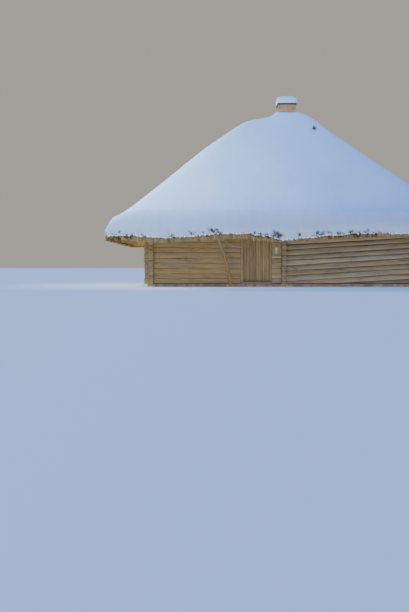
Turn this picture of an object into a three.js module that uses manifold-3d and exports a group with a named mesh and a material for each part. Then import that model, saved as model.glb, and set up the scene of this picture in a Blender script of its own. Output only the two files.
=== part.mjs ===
// A low log farmhouse: notched log walls on a stone footing, a plank door in two leaves, a hipped roof of
// thatch with settled snow on it, and a square masonry chimney. Millimetres, +Z up. The long front faces
// -Y and the origin lies on the ground under the middle of the house.
import * as THREE from "three";
import { mergeVertices } from "three/addons/utils/BufferGeometryUtils.js";
import Module from "manifold-3d";

// Driving dimensions of the whole house
const GAP = 0.3; // between pieces that touch
const WALL_LENGTH = 10760; // outer faces of the end walls
const WALL_DEPTH = 7860; // outer faces of the front and back walls
const WALL_THICK = 200;
const OVERHANG = 1510; // wall face to the cut edge of the thatch
const COURSE = 208; // height of one log
const COURSES = 13;
const FOOTING_TOP = 110;
const LOG_END = 180; // how far the log ends stand out at a corner
const SEAM_INSET = 25; // depth of the groove between two logs
const PLATE_HEIGHT = 180;
const PITCH = THREE.MathUtils.degToRad(43);
const EAVE_Z = 1800; // lower edge of the thatch
const THATCH_DEPTH = 400; // measured straight up
const SNOW_DEPTHS = { front: 380, right: 280, back: 380, left: 170 };
const SNOW_LIP = 60; // how far the snow stands past the thatch
const EAVE_ROLL = 200; // extra snow that has crept down to the eaves
const EAVE_ROLL_WIDTH = 450;
const THATCH_ROUNDING = 120; // softness of the thatch at hips and ridge

// The door and the small window beside it, measured along the front wall
const DOOR_LEFT = -1680;
const DOOR_RIGHT = -440;
const DOOR_HEAD_COURSE = 9; // the opening ends under this log
const JAMB_WIDTH = 90;
const THRESHOLD_TOP = 190;
const LEAF_THICK = 45;
const LEAF_RECESS = 70; // wall face to the middle of the leaf
const LEAF_GAP = 12; // between the two leaves
const PIVOT_FROM_JAMB = 45;
const PIVOT_FROM_EDGE = 30;
const LEAF_CLEARANCE = 8; // above and below a leaf
const PIN_RADIUS = 18;
const SOCKET_RADIUS = 19;
const SOCKET_DEPTH = 45;
const WINDOW_LEFT = -400;
const WINDOW_WIDTH = 290;
const WINDOW_SILL = 1250;
const WINDOW_HEIGHT = 350;
const WINDOW_STILE = 90; // width of its upright bars
const WINDOW_RAIL = 35; // and of the bars above and below
const CROSS_WALL_X = 50; // middle of the log ends that come through the front

// The chimney
const CHIMNEY_X = 560;
const CHIMNEY_Y = 250; // a little behind the ridge
const CHIMNEY_WIDTH = 790;
const CHIMNEY_DEPTH = 800;
const CHIMNEY_TOP = 8020;
const CAP_HEIGHT = 60;
const CAP_EDGE = 25; // how far the cap slab stands out
const CHIMNEY_SNOW_EDGE = 50; // how far the snow stands past the slab
const CHIMNEY_SNOW_HEIGHT = 350;

// Worked out from the above
const WALL_X = WALL_LENGTH / 2;
const WALL_Y = WALL_DEPTH / 2;
const EAVE_X = WALL_X + OVERHANG;
const EAVE_Y = WALL_Y + OVERHANG;
const RISE = Math.tan(PITCH);
const WALL_BASE = FOOTING_TOP + GAP;
const WALL_TOP = WALL_BASE + COURSES * COURSE;
const PLATE_BASE = WALL_TOP + GAP;
const DOOR_HEAD = WALL_BASE + DOOR_HEAD_COURSE * COURSE;

const { clamp, lerp, smoothstep } = THREE.MathUtils;
const wasm = await Module();
wasm.setup();

// A closed geometry as a solid that can be joined and cut.
function solid(geometry) {
  const bare = new THREE.BufferGeometry();
  bare.setAttribute("position", geometry.getAttribute("position"));
  bare.setIndex(geometry.index);
  const merged = mergeVertices(bare, 1e-3);
  const vertProperties = merged.attributes.position.array;
  const triVerts = new Uint32Array(merged.index.array);
  return new wasm.Manifold(new wasm.Mesh({ numProp: 3, vertProperties, triVerts }));
}

// A solid as a geometry with flat faces.
function geometryOf(made) {
  const { vertProperties, triVerts } = made.getMesh();
  const shared = new THREE.BufferGeometry();
  shared.setAttribute("position", new THREE.BufferAttribute(vertProperties, 3));
  shared.setIndex(new THREE.BufferAttribute(triVerts, 1));
  const flat = shared.toNonIndexed();
  flat.computeVertexNormals();
  return flat;
}

function block(x0, x1, y0, y1, z0, z1) {
  const geometry = new THREE.BoxGeometry(x1 - x0, y1 - y0, z1 - z0);
  return solid(geometry.translate((x0 + x1) / 2, (y0 + y1) / 2, (z0 + z1) / 2));
}

function union(solids) {
  return solids.reduce((all, next) => all.add(next));
}

// Colours and finishes of the bare materials
const FINISHES = {
  logs: { color: 0x8a7a5e, roughness: 0.9 },
  boards: { color: 0x7d6c4f, roughness: 0.88 },
  stone: { color: 0x8d8a84, roughness: 0.95 },
  thatch: { color: 0x7a6844, roughness: 1.0 },
  snow: { color: 0xe4edf8, roughness: 0.75 },
  plaster: { color: 0x9a8478, roughness: 0.92 },
  glass: { color: 0xa9c4b4, roughness: 0.15 },
};

function piece(name, made, finish, parent) {
  const material = new THREE.MeshStandardMaterial({ metalness: 0, ...FINISHES[finish] });
  const mesh = new THREE.Mesh(geometryOf(made), material);
  mesh.name = name;
  parent.add(mesh);
  return mesh;
}

const house = new THREE.Group();
const ground = new THREE.Group();
const walls = new THREE.Group();
const entrance = new THREE.Group();
const roof = new THREE.Group();
const chimney = new THREE.Group();
house.add(ground, walls, entrance, roof, chimney);

// The stone footing is a low dry-laid strip under each wall, a little wider than the logs
const FOOTING_WIDTH = 300;
{
  const spread = (FOOTING_WIDTH - WALL_THICK) / 2;
  const outX = WALL_X + spread;
  const outY = WALL_Y + spread;
  const inX = outX - FOOTING_WIDTH;
  const inY = outY - FOOTING_WIDTH;
  piece("footing_front", block(-outX, outX, -outY, -inY, 0, FOOTING_TOP), "stone", ground);
  piece("footing_back", block(-outX, outX, inY, outY, 0, FOOTING_TOP), "stone", ground);
  piece("footing_left", block(-outX, -inX, GAP - inY, inY - GAP, 0, FOOTING_TOP), "stone", ground);
  piece("footing_right", block(inX, outX, GAP - inY, inY - GAP, 0, FOOTING_TOP), "stone", ground);
}

// Heights of the seams in a wall. The end walls lie half a log higher than the long ones, so they begin
// and end with a half log.
function seams(half) {
  const levels = [];
  if (half) levels.push(0);
  for (let k = 0; k <= COURSES - (half ? 1 : 0); k++) levels.push((k + (half ? 0.5 : 0)) * COURSE);
  if (half) levels.push(COURSES * COURSE);
  return levels;
}

// The cross-section of stacked logs: outside each log bulges between its two seams, and inside the wall
// is hewn flat. The column of log ends bulges on both sides.
function logSection(half, round) {
  const levels = seams(half);
  const bulge = WALL_THICK / 2;
  const outside = [];
  levels.forEach((z, i) => {
    outside.push([bulge - SEAM_INSET, z]);
    if (i === levels.length - 1) return;
    const height = levels[i + 1] - z;
    outside.push([bulge, z + 0.22 * height], [bulge, z + 0.78 * height]);
  });
  const flat = [[bulge, 0], [bulge, levels.at(-1)]];
  const inside = (round ? outside : flat).map(([y, z]) => [-y, z]).reverse();
  return new THREE.Shape([...outside, ...inside].map(([y, z]) => new THREE.Vector2(y, z)));
}

// A stack of logs from one length to the other, along +X or +Y, with the middle of the logs at centre.
// The outside faces away from the middle of the house.
function logStack(axis, from, to, centre, half, round = false) {
  const section = logSection(half, round);
  const geometry = new THREE.ExtrudeGeometry(section, { depth: to - from, bevelEnabled: false });
  const outward = axis === "x" ? Math.sign(centre) : -Math.sign(centre);
  if (outward < 0) geometry.translate(0, 0, from - to).rotateY(Math.PI);
  const up = new THREE.Vector3(0, 0, 1);
  const across = axis === "x" ? new THREE.Vector3(0, 1, 0) : new THREE.Vector3(-1, 0, 0);
  const along = axis === "x" ? new THREE.Vector3(1, 0, 0) : new THREE.Vector3(0, 1, 0);
  const place = new THREE.Matrix4().makeBasis(across, up, along);
  place.setPosition(axis === "x" ? from : centre, axis === "x" ? centre : from, WALL_BASE);
  return solid(geometry.applyMatrix4(place));
}

// At a corner each log is notched to half its height, so the two walls share the crossing in turn.
// This gives what the other wall keeps there: half of each of its logs.
function notches(otherHalf, x0, x1, y0, y1) {
  const quarter = COURSE / 4;
  const first = otherHalf ? 0 : 0.5;
  const cuts = [];
  for (let k = first; k <= COURSES; k++) {
    const middle = k * COURSE;
    const low = WALL_BASE + Math.max(middle - quarter, -quarter) - GAP;
    const high = WALL_BASE + middle + quarter + GAP;
    cuts.push(block(x0 - GAP, x1 + GAP, y0 - GAP, y1 + GAP, low, high));
  }
  return union(cuts);
}

// Log walls: the long ones run through between the corners, the end ones cross them
const INNER_X = WALL_X - WALL_THICK;
const INNER_Y = WALL_Y - WALL_THICK;
const FREE = 60; // a cut reaches this far past a log's face
const FAR = 20000;
const PARING = 60; // taken off the ends of the top log, under the rafters
const corePlan = [-WALL_X, WALL_X, -WALL_Y, WALL_Y];
const paring = block(-FAR, FAR, -FAR, FAR, WALL_TOP - PARING, FAR).subtract(block(...corePlan, 0, 2 * FAR));
function longWall(side) {
  const middle = side * (WALL_Y - WALL_THICK / 2);
  const reach = WALL_X + LOG_END;
  const y0 = middle - WALL_THICK / 2 - FREE;
  const y1 = middle + WALL_THICK / 2 + FREE;
  return logStack("x", -reach, reach, middle, false)
    .subtract(notches(true, -WALL_X, -INNER_X, y0, y1))
    .subtract(notches(true, INNER_X, WALL_X, y0, y1))
    .subtract(paring);
}
function endWall(side) {
  const middle = side * (WALL_X - WALL_THICK / 2);
  const reach = WALL_Y + LOG_END;
  const x0 = middle - WALL_THICK / 2 - FREE;
  const x1 = middle + WALL_THICK / 2 + FREE;
  return logStack("y", -reach, reach, middle, true)
    .subtract(notches(false, x0, x1, -WALL_Y, -INNER_Y))
    .subtract(notches(false, x0, x1, INNER_Y, WALL_Y))
    .subtract(paring);
}
piece("back_wall", longWall(1), "logs", walls);
piece("left_wall", endWall(-1), "logs", walls);
piece("right_wall", endWall(1), "logs", walls);

// The front wall is in pieces round the door. A cross wall inside meets it beside the window, and its log
// ends show as a column.
const crossFrom = CROSS_WALL_X - WALL_THICK / 2;
const crossTo = CROSS_WALL_X + WALL_THICK / 2;
const crossEnds = logStack("y", -WALL_Y - LOG_END, -INNER_Y, CROSS_WALL_X, true, true);
piece("cross_wall_ends", crossEnds.subtract(paring), "logs", walls);
const frontWall = longWall(-1);
function frontWallPart(from, to, bottom = 0) {
  return frontWall.intersect(block(from, to, -FAR, FAR, bottom, FAR));
}
const windowHole = block(
  WINDOW_LEFT,
  WINDOW_LEFT + WINDOW_WIDTH,
  -WALL_Y - FREE,
  -INNER_Y + FREE,
  WINDOW_SILL,
  WINDOW_SILL + WINDOW_HEIGHT,
);
const pivots = [
  { name: "door_leaf_left", x: DOOR_LEFT + JAMB_WIDTH + PIVOT_FROM_JAMB, side: 1 },
  { name: "door_leaf_right", x: DOOR_RIGHT - JAMB_WIDTH - PIVOT_FROM_JAMB, side: -1 },
];
const LEAF_Y = -WALL_Y + LEAF_RECESS;

// An upright round pin or its socket, as a prism of sixteen sides.
function upright(x, radius, z0, z1) {
  const geometry = new THREE.CylinderGeometry(radius, radius, z1 - z0, 16);
  return solid(geometry.rotateX(Math.PI / 2).translate(x, LEAF_Y, (z0 + z1) / 2));
}

const overDoor = frontWallPart(DOOR_LEFT + GAP, DOOR_RIGHT - GAP, DOOR_HEAD);
const socketTop = DOOR_HEAD + SOCKET_DEPTH;
const headSockets = pivots.map(({ x }) => upright(x, SOCKET_RADIUS, DOOR_HEAD - FREE, socketTop));
const besideDoor = frontWallPart(DOOR_RIGHT, crossFrom - GAP).subtract(windowHole);
piece("front_wall_left", frontWallPart(-FAR, DOOR_LEFT), "logs", walls);
piece("front_wall_over_door", overDoor.subtract(union(headSockets)), "logs", walls);
piece("front_wall_with_window", besideDoor, "logs", walls);
piece("front_wall_right", frontWallPart(crossTo + GAP, FAR), "logs", walls);

// The door frame: a sill log with two sockets, and a post at each side up to the log over the door
const SILL_OUT = 30; // the sill stands this far out of the wall
const socketBase = THRESHOLD_TOP - SOCKET_DEPTH;
const sill = block(DOOR_LEFT + GAP, DOOR_RIGHT - GAP, -WALL_Y - SILL_OUT, -INNER_Y, WALL_BASE, THRESHOLD_TOP);
const sillSockets = pivots.map(({ x }) => upright(x, SOCKET_RADIUS, socketBase, THRESHOLD_TOP + 1));
piece("door_sill", sill.subtract(union(sillSockets)), "boards", entrance);
for (const [name, outer, inner] of [
  ["door_jamb_left", DOOR_LEFT + GAP, DOOR_LEFT + JAMB_WIDTH],
  ["door_jamb_right", DOOR_RIGHT - JAMB_WIDTH, DOOR_RIGHT - GAP],
]) {
  const post = block(outer, inner, -WALL_Y + 10, -INNER_Y - 10, THRESHOLD_TOP + GAP, DOOR_HEAD - GAP);
  piece(name, post, "boards", entrance);
}

// Each door leaf is made of upright planks on two ledges, and turns on a wooden pin at top and bottom
const LEDGE_HEIGHT = 110;
const LEDGE_THICK = 25;
const LEDGE_FROM_PIVOT = 150; // clears the jamb when the leaf stands open
const PLANKS = 4;
const GROOVE = 6; // between two planks
const meeting = (DOOR_LEFT + DOOR_RIGHT) / 2;
for (const { name, x, side } of pivots) {
  const bottom = THRESHOLD_TOP + LEAF_CLEARANCE;
  const top = DOOR_HEAD - LEAF_CLEARANCE;
  const hingeEdge = x - side * PIVOT_FROM_EDGE;
  const freeEdge = meeting - side * (LEAF_GAP / 2);
  const front = LEAF_Y - LEAF_THICK / 2;
  const back = LEAF_Y + LEAF_THICK / 2;
  const at = (a, b) => [Math.min(a, b), Math.max(a, b)];
  let leaf = block(...at(hingeEdge, freeEdge), front, back, bottom, top);
  for (let k = 1; k < PLANKS; k++) {
    const seam = hingeEdge + ((freeEdge - hingeEdge) * k) / PLANKS;
    leaf = leaf.subtract(block(seam - GROOVE / 2, seam + GROOVE / 2, front - 1, front + GROOVE, 0, FAR));
  }
  for (const z of [bottom + 200, top - 200 - LEDGE_HEIGHT]) {
    const ends = at(x + side * LEDGE_FROM_PIVOT, freeEdge - side * 30);
    leaf = leaf.add(block(...ends, back - 1, back + LEDGE_THICK, z, z + LEDGE_HEIGHT));
  }
  leaf = leaf.add(upright(x, PIN_RADIUS, socketBase + GAP, bottom + 50));
  leaf = leaf.add(upright(x, PIN_RADIUS, top - 50, socketTop - 2 * GAP));
  if (side < 0) {
    // A wooden pull on the leaf that opens first
    const pull = freeEdge + 45;
    leaf = leaf.add(block(pull, pull + 32, front - 35, front + 1, 980, 1180));
  }
  piece(name, leaf, "boards", entrance);
}

// A small fixed window: four bars round one pane, which sits in a rebate at the back
const REBATE = 12;
const PANE_THICK = 6;
{
  const x0 = WINDOW_LEFT + GAP;
  const x1 = WINDOW_LEFT + WINDOW_WIDTH - GAP;
  const z0 = WINDOW_SILL + GAP;
  const z1 = WINDOW_SILL + WINDOW_HEIGHT - GAP;
  const front = -WALL_Y + 20;
  const back = front + 70;
  const seat = back - 24;
  const [left, right, low, high] = [x0 + WINDOW_STILE, x1 - WINDOW_STILE, z0 + WINDOW_RAIL, z1 - WINDOW_RAIL];
  const light = (by, y0, y1) => block(left - by, right + by, y0, y1, low - by, high + by);
  const bars = block(x0, x1, front, back, z0, z1).subtract(light(0, front - 1, back + 1));
  piece("window_frame", bars.subtract(light(REBATE, seat, back + 1)), "boards", entrance);
  piece("window_pane", light(REBATE - GAP, seat + GAP, seat + GAP + PANE_THICK), "glass", entrance);
}

// Squared plates lie on the walls and carry the rafters
const plates = {
  front: [-WALL_X, WALL_X, -WALL_Y + 10, -INNER_Y - 10],
  back: [-WALL_X, WALL_X, INNER_Y + 10, WALL_Y - 10],
  left: [-WALL_X + 10, -INNER_X - 10, GAP - INNER_Y - 10, INNER_Y + 10 - GAP],
  right: [INNER_X + 10, WALL_X - 10, GAP - INNER_Y - 10, INNER_Y + 10 - GAP],
};
for (const [side, plan] of Object.entries(plates)) {
  piece("wall_plate_" + side, block(...plan, PLATE_BASE, PLATE_BASE + PLATE_HEIGHT), "logs", walls);
}

// The chimney stands on the ground inside and passes through the roof at the ridge. Its flue is shut by
// the cap slab and the snow on it.
const STACK = [
  CHIMNEY_X - CHIMNEY_WIDTH / 2,
  CHIMNEY_X + CHIMNEY_WIDTH / 2,
  CHIMNEY_Y - CHIMNEY_DEPTH / 2,
  CHIMNEY_Y + CHIMNEY_DEPTH / 2,
];
function around(plan, by, z0, z1) {
  return block(plan[0] - by, plan[1] + by, plan[2] - by, plan[3] + by, z0, z1);
}
piece("chimney_stack", around(STACK, 0, 0, CHIMNEY_TOP), "plaster", chimney);
piece("chimney_cap", around(STACK, CAP_EDGE, CHIMNEY_TOP + GAP, CHIMNEY_TOP + CAP_HEIGHT), "stone", chimney);

// Snow on the cap: a loaf with a flat base and soft corners
{
  const loaf = new THREE.BoxGeometry(2, 2, 2, 6, 6, 6);
  const halfX = CHIMNEY_WIDTH / 2 + CAP_EDGE + CHIMNEY_SNOW_EDGE;
  const halfY = CHIMNEY_DEPTH / 2 + CAP_EDGE + CHIMNEY_SNOW_EDGE;
  const base = CHIMNEY_TOP + CAP_HEIGHT + GAP;
  const point = new THREE.Vector3();
  const spots = loaf.getAttribute("position");
  for (let i = 0; i < spots.count; i++) {
    point.fromBufferAttribute(spots, i);
    const reach = Math.pow(point.x ** 4 + point.y ** 4 + point.z ** 4, 1 / 4);
    point.divideScalar(reach);
    const lift = (Math.max(point.z, -0.35) + 0.35) / 1.35;
    const x = CHIMNEY_X + halfX * point.x;
    spots.setXYZ(i, x, CHIMNEY_Y + halfY * point.y, base + lift * CHIMNEY_SNOW_HEIGHT);
  }
  loaf.deleteAttribute("normal");
  loaf.deleteAttribute("uv");
  piece("chimney_snow", solid(loaf), "snow", chimney);
}

// The four slopes of the roof. A place on a slope is given by its length along the eave and by its plan
// distance in from the thatch's cut edge.
const SLOPES = {
  front: { corner: [-EAVE_X, -EAVE_Y], along: [1, 0], inward: [0, 1], length: 2 * EAVE_X, run: EAVE_Y },
  right: { corner: [EAVE_X, -EAVE_Y], along: [0, 1], inward: [-1, 0], length: 2 * EAVE_Y, run: EAVE_Y },
  back: { corner: [EAVE_X, EAVE_Y], along: [-1, 0], inward: [0, -1], length: 2 * EAVE_X, run: EAVE_Y },
  left: { corner: [-EAVE_X, EAVE_Y], along: [0, -1], inward: [1, 0], length: 2 * EAVE_Y, run: EAVE_Y },
};

// The thatch's cut edge and the snow on it wander up and down along the front. Pairs of a place along
// the front, from the middle of the house, and how far the edge stands above its mean height there.
const FRONT_EDGE = [
  [-EAVE_X, 0],
  [-4600, -90],
  [-3300, -25],
  [-2650, 45],
  [-1330, 75],
  [-1290, 15],
  [-700, -35],
  [100, -45],
  [1400, 35],
  [2600, 110],
  [4200, 130],
  [EAVE_X, 0],
];
const EDGE_ZONE = 400; // the wandering dies out this far up the slope
const UNDER_ZONE = 100; // and this far in below, short of the first batten
function alongEave(pairs, place) {
  const next = Math.max(1, pairs.findIndex(([at]) => at >= place - 1));
  const [x0, value0] = pairs[next - 1];
  const [x1, value1] = pairs[next];
  return lerp(value0, value1, clamp((place - x0) / (x1 - x0), 0, 1));
}
function edgeLift(side, x, inward) {
  if (side !== "front") return 0;
  return alongEave(FRONT_EDGE, x) * clamp(1 - inward / EDGE_ZONE, 0, 1);
}

// Height of a surface that lies at the given depths over the thatch's underside. Hips and ridge are
// rounded by a soft minimum of the distances from the four eaves, and the depths blend there too.
function surface(x, y, depths, rounding) {
  const distances = { front: EAVE_Y + y, right: EAVE_X - x, back: EAVE_Y - y, left: EAVE_X + x };
  const nearest = Math.min(...Object.values(distances));
  let weights = 0;
  let depth = 0;
  for (const [side, distance] of Object.entries(distances)) {
    const weight = Math.exp((nearest - distance) / rounding);
    weights += weight;
    depth += weight * depths[side];
  }
  return EAVE_Z + RISE * (nearest - rounding * Math.log(weights)) + depth / weights;
}

const ALONG = {
  front: [0, 0.03, 0.08, 0.16, 0.3, 0.4, 0.4035, 0.4065, 0.45, 0.48, 0.53, 0.6, 0.7, 0.82, 0.9, 0.96, 1],
  back: [0, 0.03, 0.08, 0.18, 0.3, 0.47, 0.56, 0.7, 0.9, 0.97, 1],
  left: [0, 0.03, 0.1, 0.3, 0.7, 0.9, 0.97, 1],
  right: [0, 0.03, 0.1, 0.3, 0.7, 0.9, 0.97, 1],
};
const UP_SLOPE = [220, 450, 800, 1600, 2900, 4100, 4800, 5200];
const APEX_TRIM = 25; // the triangular slopes stop this short of their point

// A slope's skin, closed over its cross-sections. A section has an upper and a lower surface at the same
// stations up the slope, and a nose of [inward, height] points that closes it at the eave, from the lower
// surface round to the upper one. Every height is a function of the plan position.
function slopeSkin(side, { stations, upper, lower, nose }) {
  const { corner, along, inward, length } = SLOPES[side];
  const last = stations.length - 1;
  const outline = [
    ...stations.map((d) => [d, upper]),
    ...stations.toReversed().map((d) => [d, lower]),
    ...nose,
  ];
  const rings = ALONG[side].map((share) =>
    outline.map(([d, height]) => {
      const a = lerp(d + 2 * GAP, length - d - 2 * GAP, share);
      const x = corner[0] + along[0] * a + inward[0] * d;
      const y = corner[1] + along[1] * a + inward[1] * d;
      return new THREE.Vector3(x, y, height(x, y, d));
    }),
  );
  const count = outline.length;
  const index = [];
  // Both surfaces are split along the same diagonals, so that one skin lies true on another
  for (let i = 0; i < rings.length - 1; i++) {
    for (let j = 0; j < count; j++) {
      const a = i * count + j;
      const b = i * count + ((j + 1) % count);
      const [c, d] = [a + count, b + count];
      if (j <= last || j === count - 1) index.push(a, c, d, a, d, b);
      else index.push(a, c, b, c, d, b);
    }
  }
  const ends = [];
  for (let k = 0; k < last; k++) {
    const under = 2 * last + 1 - k;
    ends.push([k, k + 1, under - 1], [k, under - 1, under]);
  }
  const noseRing = [0, ...outline.keys().drop(2 * last + 1)];
  const noseShape = noseRing.map((j) => new THREE.Vector2(outline[j][0], rings[0][j].z));
  for (const corners of THREE.ShapeUtils.triangulateShape(noseShape, [])) {
    const turn = THREE.ShapeUtils.area(corners.map((k) => noseShape[k]));
    const [a, b, c] = corners.map((k) => noseRing[k]);
    ends.push(turn < 0 ? [a, b, c] : [a, c, b]);
  }
  const lastRing = (rings.length - 1) * count;
  for (const [a, b, c] of ends) index.push(a, b, c, c + lastRing, b + lastRing, a + lastRing);
  const places = rings.flat().flatMap((point) => point.toArray());
  const geometry = new THREE.BufferGeometry();
  geometry.setAttribute("position", new THREE.Float32BufferAttribute(places, 3));
  geometry.setIndex(index);
  return solid(geometry);
}

// Stations up a slope, to the ridge or to just short of the slope's point
function stationsOf(side) {
  const pointed = side === "left" || side === "right";
  return [...UP_SLOPE, SLOPES[side].run - (pointed ? APEX_TRIM : GAP)];
}

// Thatch: bundled reed with a cut edge at the eave and a flat underside on the battens. The butts of the
// reed hang a little below the battens, but are trimmed up round the front left corner. Pairs of a place
// along the eave, from the middle of the house, and how far the butts are trimmed up there.
const BUTT_DROOP = 15;
const BUTT_TRIMS = {
  front: [[-EAVE_X, 130], [-6300, 30], [-5600, 0], [EAVE_X, 0]],
  left: [[-EAVE_Y, 130], [-2400, 75], [1500, 45], [EAVE_Y, 0]],
};
const THATCH_DEPTHS = { front: THATCH_DEPTH, right: THATCH_DEPTH, back: THATCH_DEPTH, left: THATCH_DEPTH };
function thatchTop(side) {
  return (x, y, d) => surface(x, y, THATCH_DEPTHS, THATCH_ROUNDING) + edgeLift(side, x, d);
}
function thatchSection(side) {
  const lower = (x, y, d) => EAVE_Z + RISE * d;
  const place = (x, y) => (side === "front" ? x : y);
  const trim = (x, y) => (side in BUTT_TRIMS ? alongEave(BUTT_TRIMS[side], place(x, y)) : 0);
  const butt = (x, y, d) => lower(x, y, d) + edgeLift(side, x, d) - BUTT_DROOP + trim(x, y);
  const nose = [[UNDER_ZONE, lower], [0, butt], [0, thatchTop(side)]];
  return { stations: stationsOf(side), upper: thatchTop(side), lower, nose };
}

// The snow follows the thatch. It has crept down to a roll along the eaves, is worn round at the hips on
// the left, has drifted to the right along the ridge, and is heaped against the chimney.
const HEAP = { left: 200, right: 110, width: 220 };
const DRIFT = { slope: 0.1, from: -600, to: 1420, offset: -40, starts: 3800 };
const SNOW_ROUNDING = { left: 300, right: 150, upTo: -1500, from: 0 };
function snowTop(side) {
  return (x, y, d) => {
    const share = clamp(1 - (SNOW_ROUNDING.from - x) / (SNOW_ROUNDING.from - SNOW_ROUNDING.upTo), 0, 1);
    const rounding = lerp(SNOW_ROUNDING.left, SNOW_ROUNDING.right, share);
    const depths = { ...THATCH_DEPTHS };
    for (const [name, depth] of Object.entries(SNOW_DEPTHS)) depths[name] += depth;
    const roll = EAVE_ROLL * Math.exp(-((Math.max(d, 0) / EAVE_ROLL_WIDTH) ** 2));
    const high = smoothstep(d, DRIFT.starts, EAVE_Y);
    const drift = high * (DRIFT.slope * clamp(x, DRIFT.from, DRIFT.to) + DRIFT.offset);
    const aside = Math.max(STACK[0] - x, x - STACK[1], 0);
    const before = Math.max(STACK[2] - y, y - STACK[3], 0);
    const heaped = lerp(HEAP.left, HEAP.right, clamp((x - STACK[0]) / (STACK[1] - STACK[0]), 0, 1));
    const heap = heaped * Math.exp(-(aside ** 2 + before ** 2) / HEAP.width ** 2);
    return surface(x, y, depths, rounding) + roll + drift + heap + edgeLift(side, x, d);
  };
}

// The skin of the snow has a rounded nose and a lip that hangs down over the thatch's cut edge. It hangs
// lowest over the front, right of the door: pairs of a place along the front and the drop there.
const LIP_DROP = 190;
const FRONT_LIP_DROPS = [
  [-EAVE_X, LIP_DROP],
  [-700, LIP_DROP],
  [-300, 320],
  [400, 300],
  [1400, 250],
  [4200, 250],
  [EAVE_X, LIP_DROP],
];
function snowSection(side) {
  const lower = (x, y, d) => thatchTop(side)(x, y, Math.max(d, 0)) + GAP;
  const lip = (x) => (side === "front" ? alongEave(FRONT_LIP_DROPS, x) : LIP_DROP);
  const below = (raised) => (x, y) => lower(x, y, 0) - lip(x) + raised;
  const share = (part) => (x, y, d) => lerp(lower(x, y, d), snowTop(side)(x, y, d), part);
  const nose = [
    [-GAP, lower],
    [-GAP, below(0)],
    [30 - SNOW_LIP, below(0)],
    [8 - SNOW_LIP, below(60)],
    [-SNOW_LIP, share(0.05)],
    [-40, share(0.42)],
    [10, share(0.7)],
    [100, share(0.92)],
  ];
  return { stations: stationsOf(side), upper: share(1), lower, nose };
}

const stackHole = around(STACK, GAP, 0, FAR);
const thatch = {};
for (const side of Object.keys(SLOPES)) {
  thatch[side] = slopeSkin(side, thatchSection(side)).subtract(stackHole);
  piece("thatch_" + side, thatch[side], "thatch", roof);
  piece("snow_" + side, slopeSkin(side, snowSection(side)).subtract(stackHole), "snow", roof);
}

// Rafters with battens across them, one frame under each slope, seated on the plates. The frame is laid
// out flat and then tilted: along the eave, up the slope, and out of the slope.
const BATTEN = { width: 60, thick: 50, at: [480, 800, 1120, 3400] };
const RAFTER = { width: 110, thick: 135, from: 450, spacing: 1240, lap: 5 };
const CHIMNEY_TRIM = 30;
const seats = union(
  Object.values(plates).map((plan) => around(plan, GAP, PLATE_BASE - GAP, PLATE_BASE + PLATE_HEIGHT + GAP)),
);
function rafterFrame(side) {
  const { corner, along, inward, length, run } = SLOPES[side];
  const alongAxis = new THREE.Vector3(...along, 0);
  const inwardAxis = new THREE.Vector3(...inward, 0);
  const up = new THREE.Vector3(0, 0, 1);
  const upSlope = inwardAxis.clone().multiplyScalar(Math.cos(PITCH)).addScaledVector(up, Math.sin(PITCH));
  const outward = alongAxis.clone().cross(upSlope);
  const tilt = new THREE.Matrix4().makeBasis(alongAxis, upSlope, outward).setPosition(...corner, EAVE_Z);
  const laid = (a0, a1, s0, s1, n0, n1) => {
    const geometry = new THREE.BoxGeometry(a1 - a0, s1 - s0, n1 - n0);
    geometry.translate((a0 + a1) / 2, (s0 + s1) / 2, (n0 + n1) / 2);
    return solid(geometry.applyMatrix4(tilt));
  };
  const slant = (d) => d / Math.cos(PITCH);
  const bars = BATTEN.at.map((d) => {
    const s = slant(d);
    return laid(0, length, s - BATTEN.width / 2, s + BATTEN.width / 2, -GAP - BATTEN.thick, -GAP);
  });
  const top = -GAP - BATTEN.thick + RAFTER.lap;
  const count = Math.floor(length / 2 / RAFTER.spacing);
  for (let k = -count; k <= count; k++) {
    const a = length / 2 + k * RAFTER.spacing;
    const ends = [slant(RAFTER.from), slant(run)];
    bars.push(laid(a - RAFTER.width / 2, a + RAFTER.width / 2, ...ends, top - RAFTER.thick, top));
  }
  // Plan of this slope, between its two hips and the ridge
  const plan = [
    [-FREE + 3 * GAP, -FREE],
    [length + FREE - 3 * GAP, -FREE],
    [length - run - 3 * GAP, run - GAP],
    [run + 3 * GAP, run - GAP],
  ];
  if (length === 2 * run) plan.splice(2, 2, [length / 2, length / 2 - 3 * GAP]);
  const outline = new THREE.Shape(plan.map(([a, d]) => new THREE.Vector2(a, d)));
  const prism = new THREE.ExtrudeGeometry(outline, { depth: FAR, bevelEnabled: false });
  prism.applyMatrix4(new THREE.Matrix4().makeBasis(alongAxis, inwardAxis, up).setPosition(...corner, 0));
  return union(bars).intersect(solid(prism)).subtract(seats).subtract(around(STACK, CHIMNEY_TRIM, 0, FAR));
}
const frames = {};
for (const side of Object.keys(SLOPES)) {
  frames[side] = rafterFrame(side);
  piece("rafters_" + side, frames[side], "logs", roof);
}

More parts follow.
